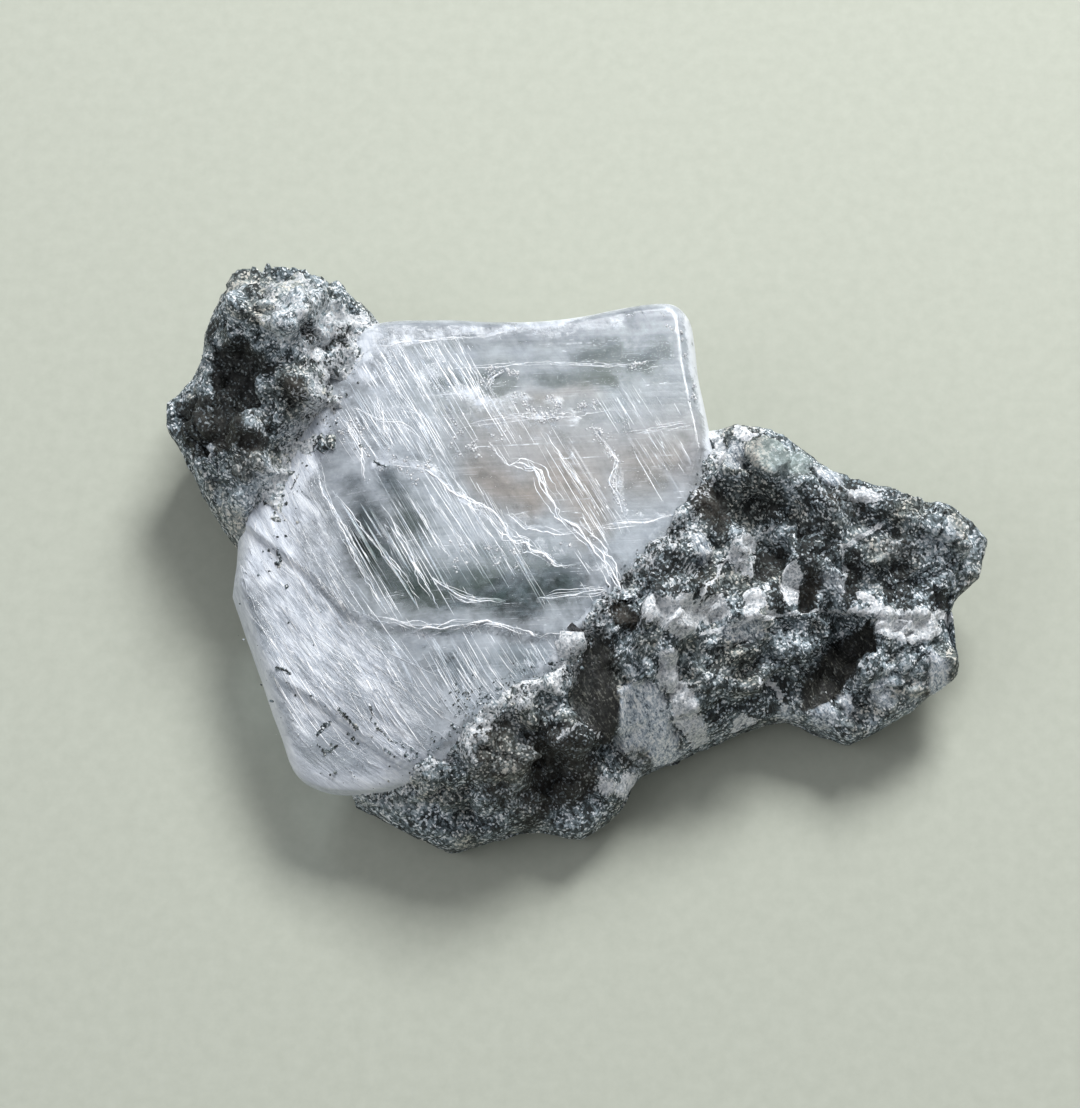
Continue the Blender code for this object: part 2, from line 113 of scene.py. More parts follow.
# Where the crystal's border meets the rock on the broad face. The rock stands on the right-hand side
# of each line and runs on, lower, beneath the crystal.
LEDGE_BORDER = ((-30.0, -24.0), *(rib[:2] for rib in CRYSTAL_RIBS[4:]), (13.0, 30.0))
KNOB_BORDER = ((-17.5, 29.4), (-34.4, -2.5))

# The edge of the split layer: the face is lower on its right-hand side, towards the front left.
CLEAVED_LINE = (
    (-34.0, 3.0), (-27.5, -2.5), (-22.8, -7.7), (-18.7, -9.7), (-13.8, -10.4), (-9.4, -9.9),
    (-4.9, -11.2), (-1.6, -11.0), (2.5, -8.8),
)

# The edge of a second split layer, on the milky side, and its step.
LAYER_LINE = (
    (-37.0, -10.0), (-31.9, -12.9), (-27.9, -14.7), (-23.7, -17.8), (-20.5, -20.6), (-15.8, -23.8),
)
LAYER_STEP = 0.45

# Spot heights of the rock's upper surface: x, y and height. The surface runs smoothly between them.
KNOB_SPOTS = (
    (-42.0, 15.7, 12.5), (-38.1, 12.4, 15.5), (-37.6, 6.0, 13.5), (-34.6, 3.1, 16.5),
    (-38.3, 21.1, 17.5), (-36.2, 25.3, 20.5), (-33.0, 27.5, 22.0), (-29.5, 27.5, 23.0),
    (-28.4, 21.0, 25.5), (-25.0, 23.2, 23.0), (-22.0, 25.0, 20.0), (-33.3, 17.5, 19.0),
    (-32.8, 13.5, 18.0), (-35.9, 15.5, 17.0), (-30.0, 13.2, 21.0), (-27.6, 15.2, 23.0),
    (-31.5, 22.5, 24.0), (-34.1, 9.0, 19.5), (-30.9, 8.7, 20.0), (-33.5, 4.5, 18.0),
)
LEDGE_SPOTS = (
    (-21.3, -25.0, 8.0), (-17.7, -26.5, 10.0), (-12.7, -24.8, 13.0), (-12.3, -28.0, 9.0),
    (-7.7, -22.8, 14.5), (-6.0, -26.2, 10.0), (-2.4, -22.8, 8.0), (1.3, -26.0, 7.0), (4.7, -22.8, 11.5),
    (-0.8, -19.8, 15.0), (0.6, -16.4, 14.0), (1.6, -14.0, 15.5), (3.6, -12.8, 19.0), (4.4, -16.6, 17.0),
    (4.8, -9.6, 20.5), (7.8, -15.2, 15.5), (7.3, -19.4, 11.0), (10.4, -19.0, 10.0), (10.4, -15.0, 16.0),
    (12.4, -17.2, 14.0), (9.1, -11.2, 18.0), (10.4, -4.7, 19.0), (13.5, 2.6, 19.5), (16.5, 5.5, 18.0),
    (20.2, 8.2, 21.0), (16.6, 11.0, 19.0), (25.6, 5.8, 19.5), (30.5, 4.4, 18.5), (36.5, 3.0, 17.0),
    (41.0, 1.2, 13.0), (15.5, -1.6, 18.5), (18.8, 0.8, 15.5), (22.8, -0.8, 17.5), (29.6, -1.2, 16.0),
    (36.2, -1.4, 15.0), (16.0, -7.0, 16.0), (22.3, -6.6, 14.0), (29.0, -5.4, 13.2), (34.0, -6.6, 14.0),
    (16.3, -12.2, 14.5), (22.3, -11.8, 13.8), (27.0, -9.3, 8.5), (25.2, -12.6, 7.5), (31.6, -11.6, 13.0),
    (32.0, -14.4, 11.5), (36.0, -11.0, 12.0), (28.4, -16.2, 9.5), (21.6, -15.2, 10.0),
    (18.3, -15.6, 12.0),
)

# Flat facets of the ledge: border in plan, a point on the plane, and its slopes along X and Y.
SLATE_FACET = (
    (2.9, -8.8), (5.1, -10.1), (8.2, -11.2), (7.8, -14.5), (8.9, -17.8), (11.2, -20.6), (10.7, -22.6),
    (7.7, -23.0), (3.1, -22.6), (2.8, -20.6), (4.7, -19.8), (4.3, -16.1), (3.2, -13.7),
)
DARK_FACET = (
    (0.1, -10.8), (2.8, -10.2), (2.8, -14.5), (4.0, -16.1), (4.3, -18.9), (2.8, -20.2), (1.3, -19.4),
    (-0.8, -18.2), (-0.7, -16.1), (0.1, -12.9),
)
END_FACET = ((35.6, -10.3), (37.6, -11.4), (38.0, -14.2), (35.8, -13.4))
FACETS = (
    (SLATE_FACET, (7.0, -15.0, 15.4), (-0.1, 0.7)), (DARK_FACET, (1.6, -15.0, 14.7), (0.55, 0.3)),
    (END_FACET, (36.8, -12.4, 12.0), (-0.2, 0.5)),
)

# Broken faces and grain of the rock: cell size, relief and seed of each layer.
ROCK_LAYERS = ((6.5, 2.4, 11), (2.8, 1.1, 23))
GRAIN_LAYERS = ((3.6, 0.95, 37), (1.5, 0.28, 31), (0.7, 0.17, 47))
ROCK_CRISPNESS, GRAIN_CRISPNESS = 15.0, 26.0  # the larger, the narrower the border between two faces
FISSURE_DEPTH = 0.6  # of the cracks between some of the larger broken faces
FISSURE_SIDES = (0.4, 0.95)  # how close to such a border a crack starts and is deepest, from 0 to 1
FISSURE_PLACES = (0.4, 0.6)  # the values of a noise between which cracks set in
OUTLINE_RELIEF = 0.4  # share of that relief that moves the outline in plan
FLANK_RELIEF = 0.6  # share of that relief that moves the steep flanks in and out

# Points of each surface along the body and across it, on each of its two sides.
CRYSTAL_GRID = (215, 215)
KNOB_GRID = (190, 200)
LEDGE_GRID = (300, 160)
CRYSTAL_CROWDING = 0.9  # how much the columns crowd towards the ends, from 0 to 1
ROCK_CROWDING = 0.6

CLEAVAGE_ANGLE = math.radians(-61)  # the fibrous cleavage, in plan, from +X
GROWTH_ANGLE = math.radians(3)  # the growth bands, in plan
FLOW_CENTRE = (20.0, 30.0)  # the milky side's fibres bend round this point
FLOW_RADIUS = 55.0

# Broken layers on the milky side: size along and across its fibres, number of levels, and their step.
TERRACE_SIZE, TERRACE_LEVELS, TERRACE_STEP = (6.0, 1.5), 4, 0.11
SPLINTER_SIZE, SPLINTER_DEPTH = (3.0, 0.6), 0.16  # of the finer relief on them


# ---------------------------------------------------------------- shape rules


def in_chunks(rule, points, size=6000):
    """The rule's answer for every point, worked out a few thousand points at a time."""
    return np.concatenate([rule(points[k : k + size]) for k in range(0, len(points), size)])


def through(points, t):
    """Points at t (0 to 1) on the Catmull-Rom curve through the given points, evenly numbered."""
    points = np.asarray(points, float)
    place = np.clip(np.asarray(t, float), 0, 1) * (len(points) - 1)
    k = np.minimum(place.astype(int), len(points) - 2)
    s = (place - k)[:, None]
    before, start = points[np.maximum(k - 1, 0)], points[k]
    end, after = points[k + 1], points[np.minimum(k + 2, len(points) - 1)]
    return 0.5 * (
        2 * start
        + (end - before) * s
        + (2 * before - 5 * start + 4 * end - after) * s**2
        + (3 * start - before - 3 * end + after) * s**3
    )


def eased(low, high, x):
    """0 below low and 1 above high, with a smooth S between."""
    s = np.clip((x - low) / (high - low), 0, 1)
    return s * s * (3 - 2 * s)


def line_distance(xy, line):
    """Distance from each point to a line of points, positive on its right-hand side."""
    line = np.asarray(line, float)
    start, along = line[:-1], np.diff(line, axis=0)

    def nearest_gap(places):
        offset = places[:, None, :] - start
        share = np.clip((offset * along).sum(2) / np.maximum((along**2).sum(1), 1e-12), 0, 1)
        gap = offset - share[..., None] * along
        distance = np.hypot(gap[..., 0], gap[..., 1])
        nearest = distance.argmin(1)
        rows = np.arange(len(places))
        a, g = along[nearest], gap[rows, nearest]
        return distance[rows, nearest] * np.sign(g[:, 0] * a[:, 1] - g[:, 1] * a[:, 0])

    return in_chunks(nearest_gap, np.asarray(xy, float))


def inside_share(xy, border, softness):
    """1 inside a closed border and 0 outside it, easing over a softness on each side."""
    closed = np.array([*border, border[0]], float)
    distance = np.abs(line_distance(xy, closed))
    x, y = xy[:, 0, None], xy[:, 1, None]
    x0, y0, x1, y1 = closed[:-1, 0], closed[:-1, 1], closed[1:, 0], closed[1:, 1]
    spans = (y0 > y) != (y1 > y)
    across = x0 + (y - y0) * (x1 - x0) / np.where(y1 == y0, 1e-12, y1 - y0)
    inside = (spans & (x < across)).sum(1) % 2 == 1
    return eased(-softness, softness, np.where(inside, distance, -distance))


def facet_share(xy, border, softness):
    """The share of each point that a soft-edged facet covers."""
    return in_chunks(lambda p: inside_share(p, border, softness), xy)


def patch_share(xy, border, softness):
    """The share of each point that a patch covers. Its border runs smoothly through the given points."""
    rounded = through([*border, border[0]], np.linspace(0, 1, 5 * len(border) + 1))
    near = ((xy > rounded.min(0) - softness) & (xy < rounded.max(0) + softness)).all(1)
    share = np.zeros(len(xy))
    if near.any():
        share[near] = facet_share(xy[near], rounded, softness)
    return share


def spot_height(xy, spots):
    """Height at each point by inverse-distance weights to the spot heights, rounded near each spot."""
    spots = np.asarray(spots, float)
    gap2 = ((xy[:, None, :] - spots[:, :2]) ** 2).sum(2)
    weight = 1 / (gap2 + 1.0) ** 2
    return (weight * spots[:, 2]).sum(1) / weight.sum(1)


def cell_random(cell, seed):
    """Three repeatable random numbers from 0 to 1 for each whole-numbered cell."""
    mixed = cell @ np.array([127.1, 311.7, 74.7]) + seed * 53.3
    return np.modf(np.abs(np.sin(mixed[..., None] * np.array([1.0, 1.7, 2.3])) * 43758.5453))[0]


def broken_faces(points, size, seed, crispness):
    """Each cell of space about size across carries its own tilted plane. Returns the height of the
    planes at each point, from -1 to 1, blended over a narrow border between cells, and how close each
    point is to such a border, from 0 to 1."""
    scaled = points / size
    base = np.floor(scaled)
    total = np.zeros(len(points))
    weights = np.zeros(len(points))
    heaviest = np.zeros(len(points))
    for corner in np.ndindex(3, 3, 3):
        cell = base + (np.array(corner) - 1)
        centre = cell + 0.15 + 0.7 * cell_random(cell, seed)
        gap = scaled - centre
        tilt = 2 * cell_random(cell, seed + 7) - 1
        weight = np.exp(-crispness * (gap**2).sum(1))
        total += weight * (gap * tilt).sum(1)
        weights += weight
        heaviest = np.maximum(heaviest, weight)
    weights += 1e-12
    return total / weights, 2 * (1 - heaviest / weights)


def relief_at(points, layers, crispness):
    """The sum of the layers of broken faces at each point, in millimetres, and the fissures between."""
    total = np.zeros((len(points), 2))
    for size, relief, seed in layers:
        height, border = broken_faces(points, size, seed, crispness)
        total[:, 0] += relief * height
        total[:, 1] = np.maximum(total[:, 1], border)
    return total


def value_noise(points, size, seed):
    """Smooth noise from 0 to 1: random values at the corners of cells of the size, eased between."""
    scaled = points / size
    base = np.floor(scaled)
    share = scaled - base
    share = share * share * (3 - 2 * share)
    total = np.zeros(len(points))
    for corner in np.ndindex(2, 2, 2):
        weight = np.where(np.array(corner) == 1, share, 1 - share).prod(1)
        total += weight * cell_random(base + np.array(corner), seed)[:, 0]
    return total


# ---------------------------------------------------------------- heights of the three bodies


def flow_places(xy):
    """Places along and across the bent fibres: arc length and distance round the centre of the bend."""
    x, y = (xy - np.array(FLOW_CENTRE)).T
    return FLOW_RADIUS * np.arctan2(-y, -x), np.hypot(x, y)


def fibre_noise(xy, size, seed):
    """Smooth noise from 0 to 1 of a size along and across the bent fibres."""
    along, across = flow_places(xy)
    return value_noise(np.column_stack([along / size[0], across / size[1], 0 * along]), 1.0, seed)


def parted_relief(xy):
    """Depth of the broken layers on the milky side: low terraces that follow the bent fibres."""
    level = TERRACE_LEVELS * fibre_noise(xy, TERRACE_SIZE, 61)
    terraces = np.floor(level) + eased(0.3, 0.7, level - np.floor(level))
    return milk_at(xy) * (TERRACE_STEP * terraces + SPLINTER_DEPTH * fibre_noise(xy, SPLINTER_SIZE, 67))


def crystal_heights(xy):
    """Upper and under side of the crystal: flat, rolling down and growing deeper to the left."""
    left = eased(*LEFT_ROLL, xy[:, 0] + LEFT_SLANT * xy[:, 1])
    front = eased(*FRONT_ROLL, xy[:, 1]) * eased(*FRONT_FADE, xy[:, 0])
    split = eased(0.0, CLEAVED_WIDTH, line_distance(xy, CLEAVED_LINE))
    upper = FACE_HEIGHT - LEFT_EDGE_DROP * left - FRONT_DROP * front - CLEAVED_STEP * split
    upper -= LAYER_STEP * eased(0.0, CLEAVED_WIDTH, line_distance(xy, LAYER_LINE))
    under = FACE_HEIGHT - CRYSTAL_THICKNESS - LEFT_EDGE_DEEPENS * np.maximum(left, FRONT_DEEPENS * front)
    return upper - parted_relief(xy), under


def rock_upper(xy, spots, border):
    """Spot heights outside the crystal's border, flush with its face along it, and easing down to the
    bed under the crystal inside."""
    gap = line_distance(xy, border)
    face, under = crystal_heights(xy)
    full = spot_height(xy, spots)
    for _, outline, _, lift in PATCHES:
        full += lift * patch_share(xy, outline, LIFT_SOFTNESS) if lift else 0
    full += np.exp(-((gap / FLUSH_WIDTH) ** 2)) * (face + FLUSH_LIFT - full)
    bed = under - BED_GAP
    return bed + (full - bed) * eased(*ROCK_EDGE, gap)


def knob_heights(xy):
    """Upper side of the knob, and an underside that is cut flat by the base."""
    return rock_upper(xy, KNOB_SPOTS, KNOB_BORDER), np.full(len(xy), BELOW_BASE)


def ledge_heights(xy):
    """Upper side of the ledge with its flat broken facets, and an underside that rises under its free
    right-hand end."""
    upper = rock_upper(xy, LEDGE_SPOTS, LEDGE_BORDER)
    for border, (x, y, z), slope in FACETS:
        plane = z + (xy - (x, y)) @ np.array(slope)
        upper += (plane - upper) * facet_share(xy, border, FACET_SOFTNESS)
    lift = FREE_END_LIFT * eased(*FREE_END, xy[:, 0])
    return upper, BELOW_BASE + lift


# ---------------------------------------------------------------- surfaces


def columns_of(ribs, count, crowding):
    """The front and back end of each column. Columns are even along the body's middle line, and crowd
    towards its ends as s - crowding sin(2 pi s) / (2 pi)."""
    t = np.linspace(0, 1, 900)
    ends = [[rib[:3] for rib in ribs], [rib[3:] for rib in ribs]]
    front, back = through(ends[0], t), through(ends[1], t)
    step = [np.linalg.norm(np.diff(line[:, :2], axis=0), axis=1) for line in (front, back)]
    run = np.concatenate([[0], np.cumsum(step[0] + step[1])])
    s = np.linspace(0, 1, count)
    places = np.interp((s - crowding * np.sin(2 * np.pi * s) / (2 * np.pi)) * run[-1], run, t)
    return through(ends[0], places), through(ends[1], places)


def surface_normals(grid):
    """Upward normals of a grid of points, from the cross product of its two differences."""
    normal = np.cross(np.gradient(grid, axis=0), np.gradient(grid, axis=1))
    return normal / np.maximum(np.linalg.norm(normal, axis=2, keepdims=True), 1e-12)


class BodySurface:
    """A closed body over its ribs. Column u follows the ribs and row v crosses from front to back,
    crowding towards the outline as 0.5 - 0.5 cos(pi s). Each side leaves the outline's height as
    sqrt(1 - (1 - inset / reach)^2), a quarter of an ellipse, up to its full height a reach further in.
    The upper and the under side share the outline's points."""

    def __init__(self, ribs, heights, reaches, counts, crowding):
        front, back = columns_of(ribs, counts[0], crowding)
        v = 0.5 - 0.5 * np.cos(np.pi * np.linspace(0, 1, counts[1]))
        across = v[None, :, None]
        plan = front[:, None] * (1 - across) + back[:, None] * across
        rim_mix = eased(0.25, 0.75, v)
        rim_height = front[:, None, 2] * (1 - rim_mix) + back[:, None, 2] * rim_mix
        rim = np.vstack([plan[:, 0], plan[-1], plan[::-1, -1], plan[::-1, 0][-1:], plan[0, ::-1]])
        self.shape = counts
        self.plan = plan[..., :2].reshape(-1, 2)
        self.inset = np.abs(line_distance(self.plan, rim[:, :2]))
        self.on_rim = np.zeros(counts, bool)
        self.on_rim[[0, -1]] = True
        self.on_rim[:, [0, -1]] = True
        self.on_rim = self.on_rim.ravel()
        self.inset[self.on_rim] = 0
        self.rim_height = rim_height.ravel()
        self.rises = [np.sqrt(1 - (1 - np.clip(self.inset / r, 0, 1)) ** 2) for r in reaches]
        self.sides = []
        for full, rise in zip(heights(self.plan), self.rises):
            self.sides.append(np.column_stack([self.plan, self.rim_height * (1 - rise) + full * rise]))

    def normals(self, side):
        """Outward normals of the upper (0) or the under side (1). Both take the level direction
        outwards on the rim."""
        up = surface_normals(self.sides[side].reshape(*self.shape, 3)).reshape(-1, 3)
        return up if side == 0 else -up

    def build(self, name, values):
        """The mesh, with each named value of both sides as a point attribute."""
        count = len(self.plan)
        ids = np.arange(count).reshape(self.shape)
        under_ids = np.full(count, -1)
        under_ids[~self.on_rim] = count + np.arange((~self.on_rim).sum())
        under_ids = np.where(self.on_rim, np.arange(count), under_ids).reshape(self.shape)
        points = np.vstack([self.sides[0], self.sides[1][~self.on_rim]])
        faces = np.vstack([quads(ids), quads(under_ids)[:, ::-1]])
        mesh = mesh_of(name, points, faces)
        for key, (upper, under) in values.items():
            attribute = mesh.attributes.new(key, "FLOAT", "POINT")
            both = np.concatenate([upper, np.broadcast_to(under, count)[~self.on_rim]])
            attribute.data.foreach_set("value", both.astype(np.float32))
        return mesh


def quads(ids):
    """The four corners of each cell of a grid of point numbers, anticlockwise from above."""
    return np.stack([ids[:-1, :-1], ids[1:, :-1], ids[1:, 1:], ids[:-1, 1:]], axis=2).reshape(-1, 4)


def mesh_of(name, points, faces):
    """A smooth-shaded mesh from points in millimetres from the datum."""
    placed = (np.asarray(points) - (*MIDDLE, 0.0)) * MM
    mesh = bpy.data.meshes.new(name)
    mesh.from_pydata(placed.tolist(), [], np.asarray(faces).tolist())
    mesh.shade_smooth()
    mesh.update()
    return mesh


def place(name, mesh, finish, slot, *nodes):
    """Adds a piece to the specimen's one body, in place of the CAD nodes that it stands for."""
    piece = bpy.data.objects.new(name, mesh)
    bpy.context.scene.collection.objects.link(piece)
    mesh.materials.append(finish)
    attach(piece, "root")
    if nodes:
        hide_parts(*nodes)


# ---------------------------------------------------------------- node helpers


def colour(hex_code):
    """A linear colour with alpha 1 from an sRGB hex code such as #c0c8d0."""
    srgb = [int(hex_code[k : k + 2], 16) / 255 for k in (1, 3, 5)]
    linear = [c / 12.92 if c <= 0.04045 else ((c + 0.055) / 1.055) ** 2.4 for c in srgb]
    return (*linear, 1.0)


def add(tree, kind, *inputs, named=None, out=0, stops=(), **settings):
    """Adds a node with its settings and links, and returns one of its outputs. Inputs fill its sockets
    in order and named ones by name or number, from a value or from another node's output. Stops are
    a colour ramp's positions and hex colours, the lowest and the highest one first."""
    node = tree.nodes.new("ShaderNode" + kind)
    for key, value in settings.items():
        setattr(node, key, value)
    for key, value in (dict(enumerate(inputs)) | (named or {})).items():
        if isinstance(value, bpy.types.NodeSocket):
            tree.links.new(value, node.inputs[key])
        else:
            node.inputs[key].default_value = value
    for k, (position, code) in enumerate(stops):
        elements = node.color_ramp.elements
        element = elements[k] if k < 2 else elements.new(position)
        element.position = position
        element.color = colour(code)
    return node.outputs[out] if len(node.outputs) else node


def empty_material(name):
    """A material with an empty node tree, and its output node."""
    made = bpy.data.materials.new(name)
    made.use_nodes = True
    made.node_tree.nodes.clear()
    return made, made.node_tree, add(made.node_tree, "OutputMaterial")


def patterns(tree, frames, table):
    """A noise for each row of a table: its frame, its size along each axis in millimetres, detail,
    roughness and distortion."""
    made = {}
    for name, (frame_name, size, detail, roughness, distortion) in table.items():
        scale = tuple(1 / s for s in size)
        place = add(tree, "VectorMath", frames[frame_name], scale, operation="MULTIPLY")
        sockets = {"Vector": place, "Scale": 1.0, "Detail": detail, "Roughness": roughness}
        sockets["Distortion"] = distortion
        made[name] = add(tree, "TexNoise", named=sockets)
    return made


def turned_frame(tree, angle):
    """Object coordinates in millimetres, with X along an angle in plan."""
    place = add(tree, "TexCoord", out="Object")
    named = {"Vector": place, "Rotation": (0, 0, -angle), "Scale": (1 / MM, 1 / MM, 1 / MM)}
    return add(tree, "Mapping", named=named)


# ---------------------------------------------------------------- the crystal

DENT_DEPTH = 0.2  # of the dents in the crystal's weathered edges
DENT_REACH = (3.0, 0.5)  # how far inside the outline they start and are full
DENT_SIZE = (3.6, 3.6, 1.8)
# The white of the clear edges is partly frosted gypsum and partly painted glow of light coming through the
# edge.
WHITE_EDGE = (1.8, 0.2)  # how far inside the outline the white of the edges starts and is full
WHITE_BY_KNOB = (3.6, 0.8)  # the same for the white along the border with each rock
WHITE_BY_LEDGE = (2.6, 0.8)
MILK_FADE = (-1.8, 2.4)  # how far left and right of its line the milk starts and is full
STAIN_STRAY = 1.6  # how far the borders of veils and windows stray

# Where the crystal is white and fibrous: this line's right-hand side, with soft edges.
MILK_LINE = (
    (-26.6, 15.0), (-26.0, 7.0), (-25.2, 3.0), (-23.8, -2.3), (-21.8, -7.4), (-19.0, -11.0),
    (-17.0, -14.0), (-15.0, -18.5), (-13.5, -23.0),
)

# Patches where the milk is thinner: a line, how far it spreads to each side, and its strength.
THIN_MILK = (
    (((-31.8, -14.0), (-29.0, -22.0)), 3.4, 0.5), (((-26.0, -20.0), (-21.0, -24.0)), 2.6, 0.45),
    (((-33.5, -3.0), (-32.0, -10.0)), 2.0, 0.4), (((-27.5, 1.0), (-25.5, -5.0)), 1.6, 0.3),
    (((-24.0, -12.0), (-21.5, -17.0)), 1.5, 0.35),
)

# Patches of whitish veil: a line, how far it spreads to each side, and its strength.
VEILS = (
    (((-26.0, 20.0), (-21.0, 18.5), (-18.0, 13.0)), 5.0, 0.5),
    (((-19.0, 21.0), (-13.0, 21.5), (-6.0, 22.6), (4.0, 23.6)), 2.6, 0.7),
    (((-20.4, 7.6), (-15.4, 6.6), (-12.2, 3.9), (-9.0, 1.5)), 1.5, 0.7),
    (((-25.5, 10.5), (-20.0, 8.5)), 3.4, 0.6),
    (((-15.0, 18.0), (-11.0, 14.5), (-7.0, 12.5)), 3.0, 0.5),
    (((-10.5, 14.8), (-2.2, 14.6), (-0.5, 12.4)), 1.4, 0.6),
    (((-4.8, 12.2), (-3.8, 12.2)), 1.2, 0.9),
    (((1.6, 11.2), (3.4, 8.2), (3.8, 4.5), (4.7, 1.7)), 0.9, 0.55),
    (((-5.3, -1.4), (0.8, -3.4), (4.3, -6.8)), 1.5, 0.45),
    (((-20.0, -13.0), (-12.0, -13.5), (-2.0, -12.8)), 3.0, 0.25),
    (((8.5, 24.5), (11.2, 22.5), (12.2, 14.0)), 1.6, 0.5),
    (((-21.5, -8.6), (-14.0, -10.6), (-8.0, -10.2), (-2.0, -11.2), (3.2, -9.0)), 0.9, 0.55),
    (((-8.0, -19.0), (-3.0, -16.0), (0.5, -11.5)), 1.6, 0.55),
    (((-6.0, 1.0), (3.0, 0.6), (9.0, 1.6)), 1.0, 0.4),
)

# Painted shade seen through the crystal: darker olive windows where a shaded backdrop would show through. A
# line, how far it spreads to each side, and its strength.
SHADED_WINDOWS = (
    (((-21.4, 0.4), (-19.6, -3.2), (-16.4, -5.4), (-12.5, -6.4), (-6.0, -6.6), (-1.5, -6.2)), 3.7, 0.95),
    (((-23.0, 5.0), (-21.4, 1.0)), 1.8, 0.4),
    (((-18.8, 5.0), (-15.5, -0.5)), 2.4, 0.55),
    (((-10.0, -2.5), (0.0, -3.5)), 2.4, 0.35),
    (((-13.0, -14.0), (-4.0, -13.5)), 3.0, 0.35),
    (((1.5, 19.6), (7.5, 19.2)), 2.6, 0.55),
    (((-3.0, 17.4), (-1.5, 17.0), (3.0, 16.6)), 1.6, 0.5),
    (((-13.0, 16.5), (-7.0, 18.0)), 2.0, 0.4),
    (((-9.0, 15.8), (-6.0, 16.2)), 1.0, 0.4),
)
# Brown windows: painted shade of a dark brown backdrop seen through the crystal, lightened by its haze. A
# line, how far it spreads to each side, and its strength.
SHADED_BROWN_WINDOWS = (
    (((-8.0, 11.0), (2.0, 8.0), (9.0, 9.0)), 8.0, 0.5),
    (((-9.5, 6.5), (-5.5, 3.5), (-1.0, 6.0), (1.0, 1.0)), 3.6, 0.75),
    (((-7.0, 6.0), (-4.6, 2.6)), 2.2, 0.6),
    (((-4.0, 15.0), (1.0, 15.5)), 2.0, 0.5),
    (((6.0, 6.0), (9.0, 8.0)), 3.5, 0.45),
)

# Sheaves of cleavage cracks: centre, length along the cleavage, spread across it, number, and how far
# their lower ends bend towards +X.
SHEAVES = (
    ((-18.5, 18.5), 6.0, 3.4, 120, 0.0), ((-13.5, 18.5), 8.0, 2.4, 70, 0.0),
    ((-10.5, 17.5), 10.0, 1.4, 26, 0.0), ((-21.0, 12.5), 7.0, 3.0, 110, 0.15),
    ((-15.5, 12.5), 8.0, 3.2, 90, 0.0), ((-16.0, 1.6), 13.0, 2.2, 24, 0.0),
    ((-19.0, -0.5), 12.0, 1.0, 12, 0.0), ((-22.2, -0.6), 14.0, 1.0, 24, 0.0),
    ((-11.2, 1.5), 13.0, 2.2, 40, 0.0), ((-7.5, 0.5), 11.0, 0.8, 24, 0.0),
    ((-1.0, 7.5), 9.5, 1.5, 30, 0.0), ((-7.0, 12.0), 6.0, 2.4, 40, 0.0),
    ((-10.5, -14.5), 8.0, 4.0, 130, 0.3), ((-25.0, -6.0), 12.0, 3.0, 80, 0.2),
    ((-27.5, -13.0), 11.0, 4.0, 110, 0.2), ((-19.0, -16.5), 10.0, 4.0, 130, 0.35),
    ((-4.0, -13.5), 4.0, 2.6, 50, 0.3), ((8.5, 9.0), 7.0, 3.0, 36, 0.0),
    ((4.5, 14.0), 5.0, 4.0, 26, 0.0), ((2.0, 1.0), 5.0, 3.5, 40, 0.0),
)


def veil_share(xy, patches, softness=1.0):
    """The share of each point that patches along lines cover: one less the product of what each leaves.
    Softness is the share of their spread over which they fade."""
    clear = np.ones(len(xy))
    for line, spread, strength in patches:
        distance = np.abs(line_distance(xy, through(line, np.linspace(0, 1, 24))))
        clear *= 1 - strength * eased(spread, (1 - softness) * spread, distance)
    return 1 - clear


def crystal_surface():
    """The crystal's two sides, with dents in its edges where it is weathered."""
    reaches = (CRYSTAL_EDGE_RADIUS, CRYSTAL_EDGE_RADIUS)
    surface = BodySurface(CRYSTAL_RIBS, crystal_heights, reaches, CRYSTAL_GRID, CRYSTAL_CROWDING)
    depth = DENT_DEPTH * (0.25 + milk_at(surface.plan)) * eased(*DENT_REACH, surface.inset)
    outward = surface.normals(0) * (1, 1, 0)
    for side in (0, 1):
        points = surface.sides[side]
        dent = value_noise(points / DENT_SIZE, 1.0, 71) + 0.25 * value_noise(points, 1.6, 73)
        normal = np.where(surface.on_rim[:, None], outward, surface.normals(side))
        surface.sides[side] = points - normal * (depth * dent)[:, None]
    surface.sides[1][surface.on_rim] = surface.sides[0][surface.on_rim]
    return surface


def milk_at(xy):
    """How milky the crystal is: full at its weathered side, fading across the milk line."""
    depth = line_distance(xy, through(MILK_LINE, np.linspace(0, 1, 40)))
    return eased(*MILK_FADE, depth) * (1 - veil_share(xy, THIN_MILK))


def sheaf_share(xy):
    """How thickly the cleavage cracks run at each point: the sum of a bell curve for each sheaf."""
    along = np.array([math.cos(CLEAVAGE_ANGLE), math.sin(CLEAVAGE_ANGLE)])
    total = np.zeros(len(xy))
    for centre, length, spread, *_ in SHEAVES:
        gap = xy - np.array(centre)
        lengthwise, sideways = gap @ along, gap @ np.array([-along[1], along[0]])
        total += np.exp(-((lengthwise / (0.45 * length)) ** 2) - (sideways / (0.8 * spread)) ** 2)
    return np.clip(total, 0, 1)


def strayed(xy, size, seeds):
    """Smooth noise from -0.5 to 0.5 along X and along Y, in plan."""
    flat = np.column_stack([xy, np.zeros(len(xy))])
    return np.column_stack([value_noise(flat, size, seed) for seed in seeds]) - 0.5


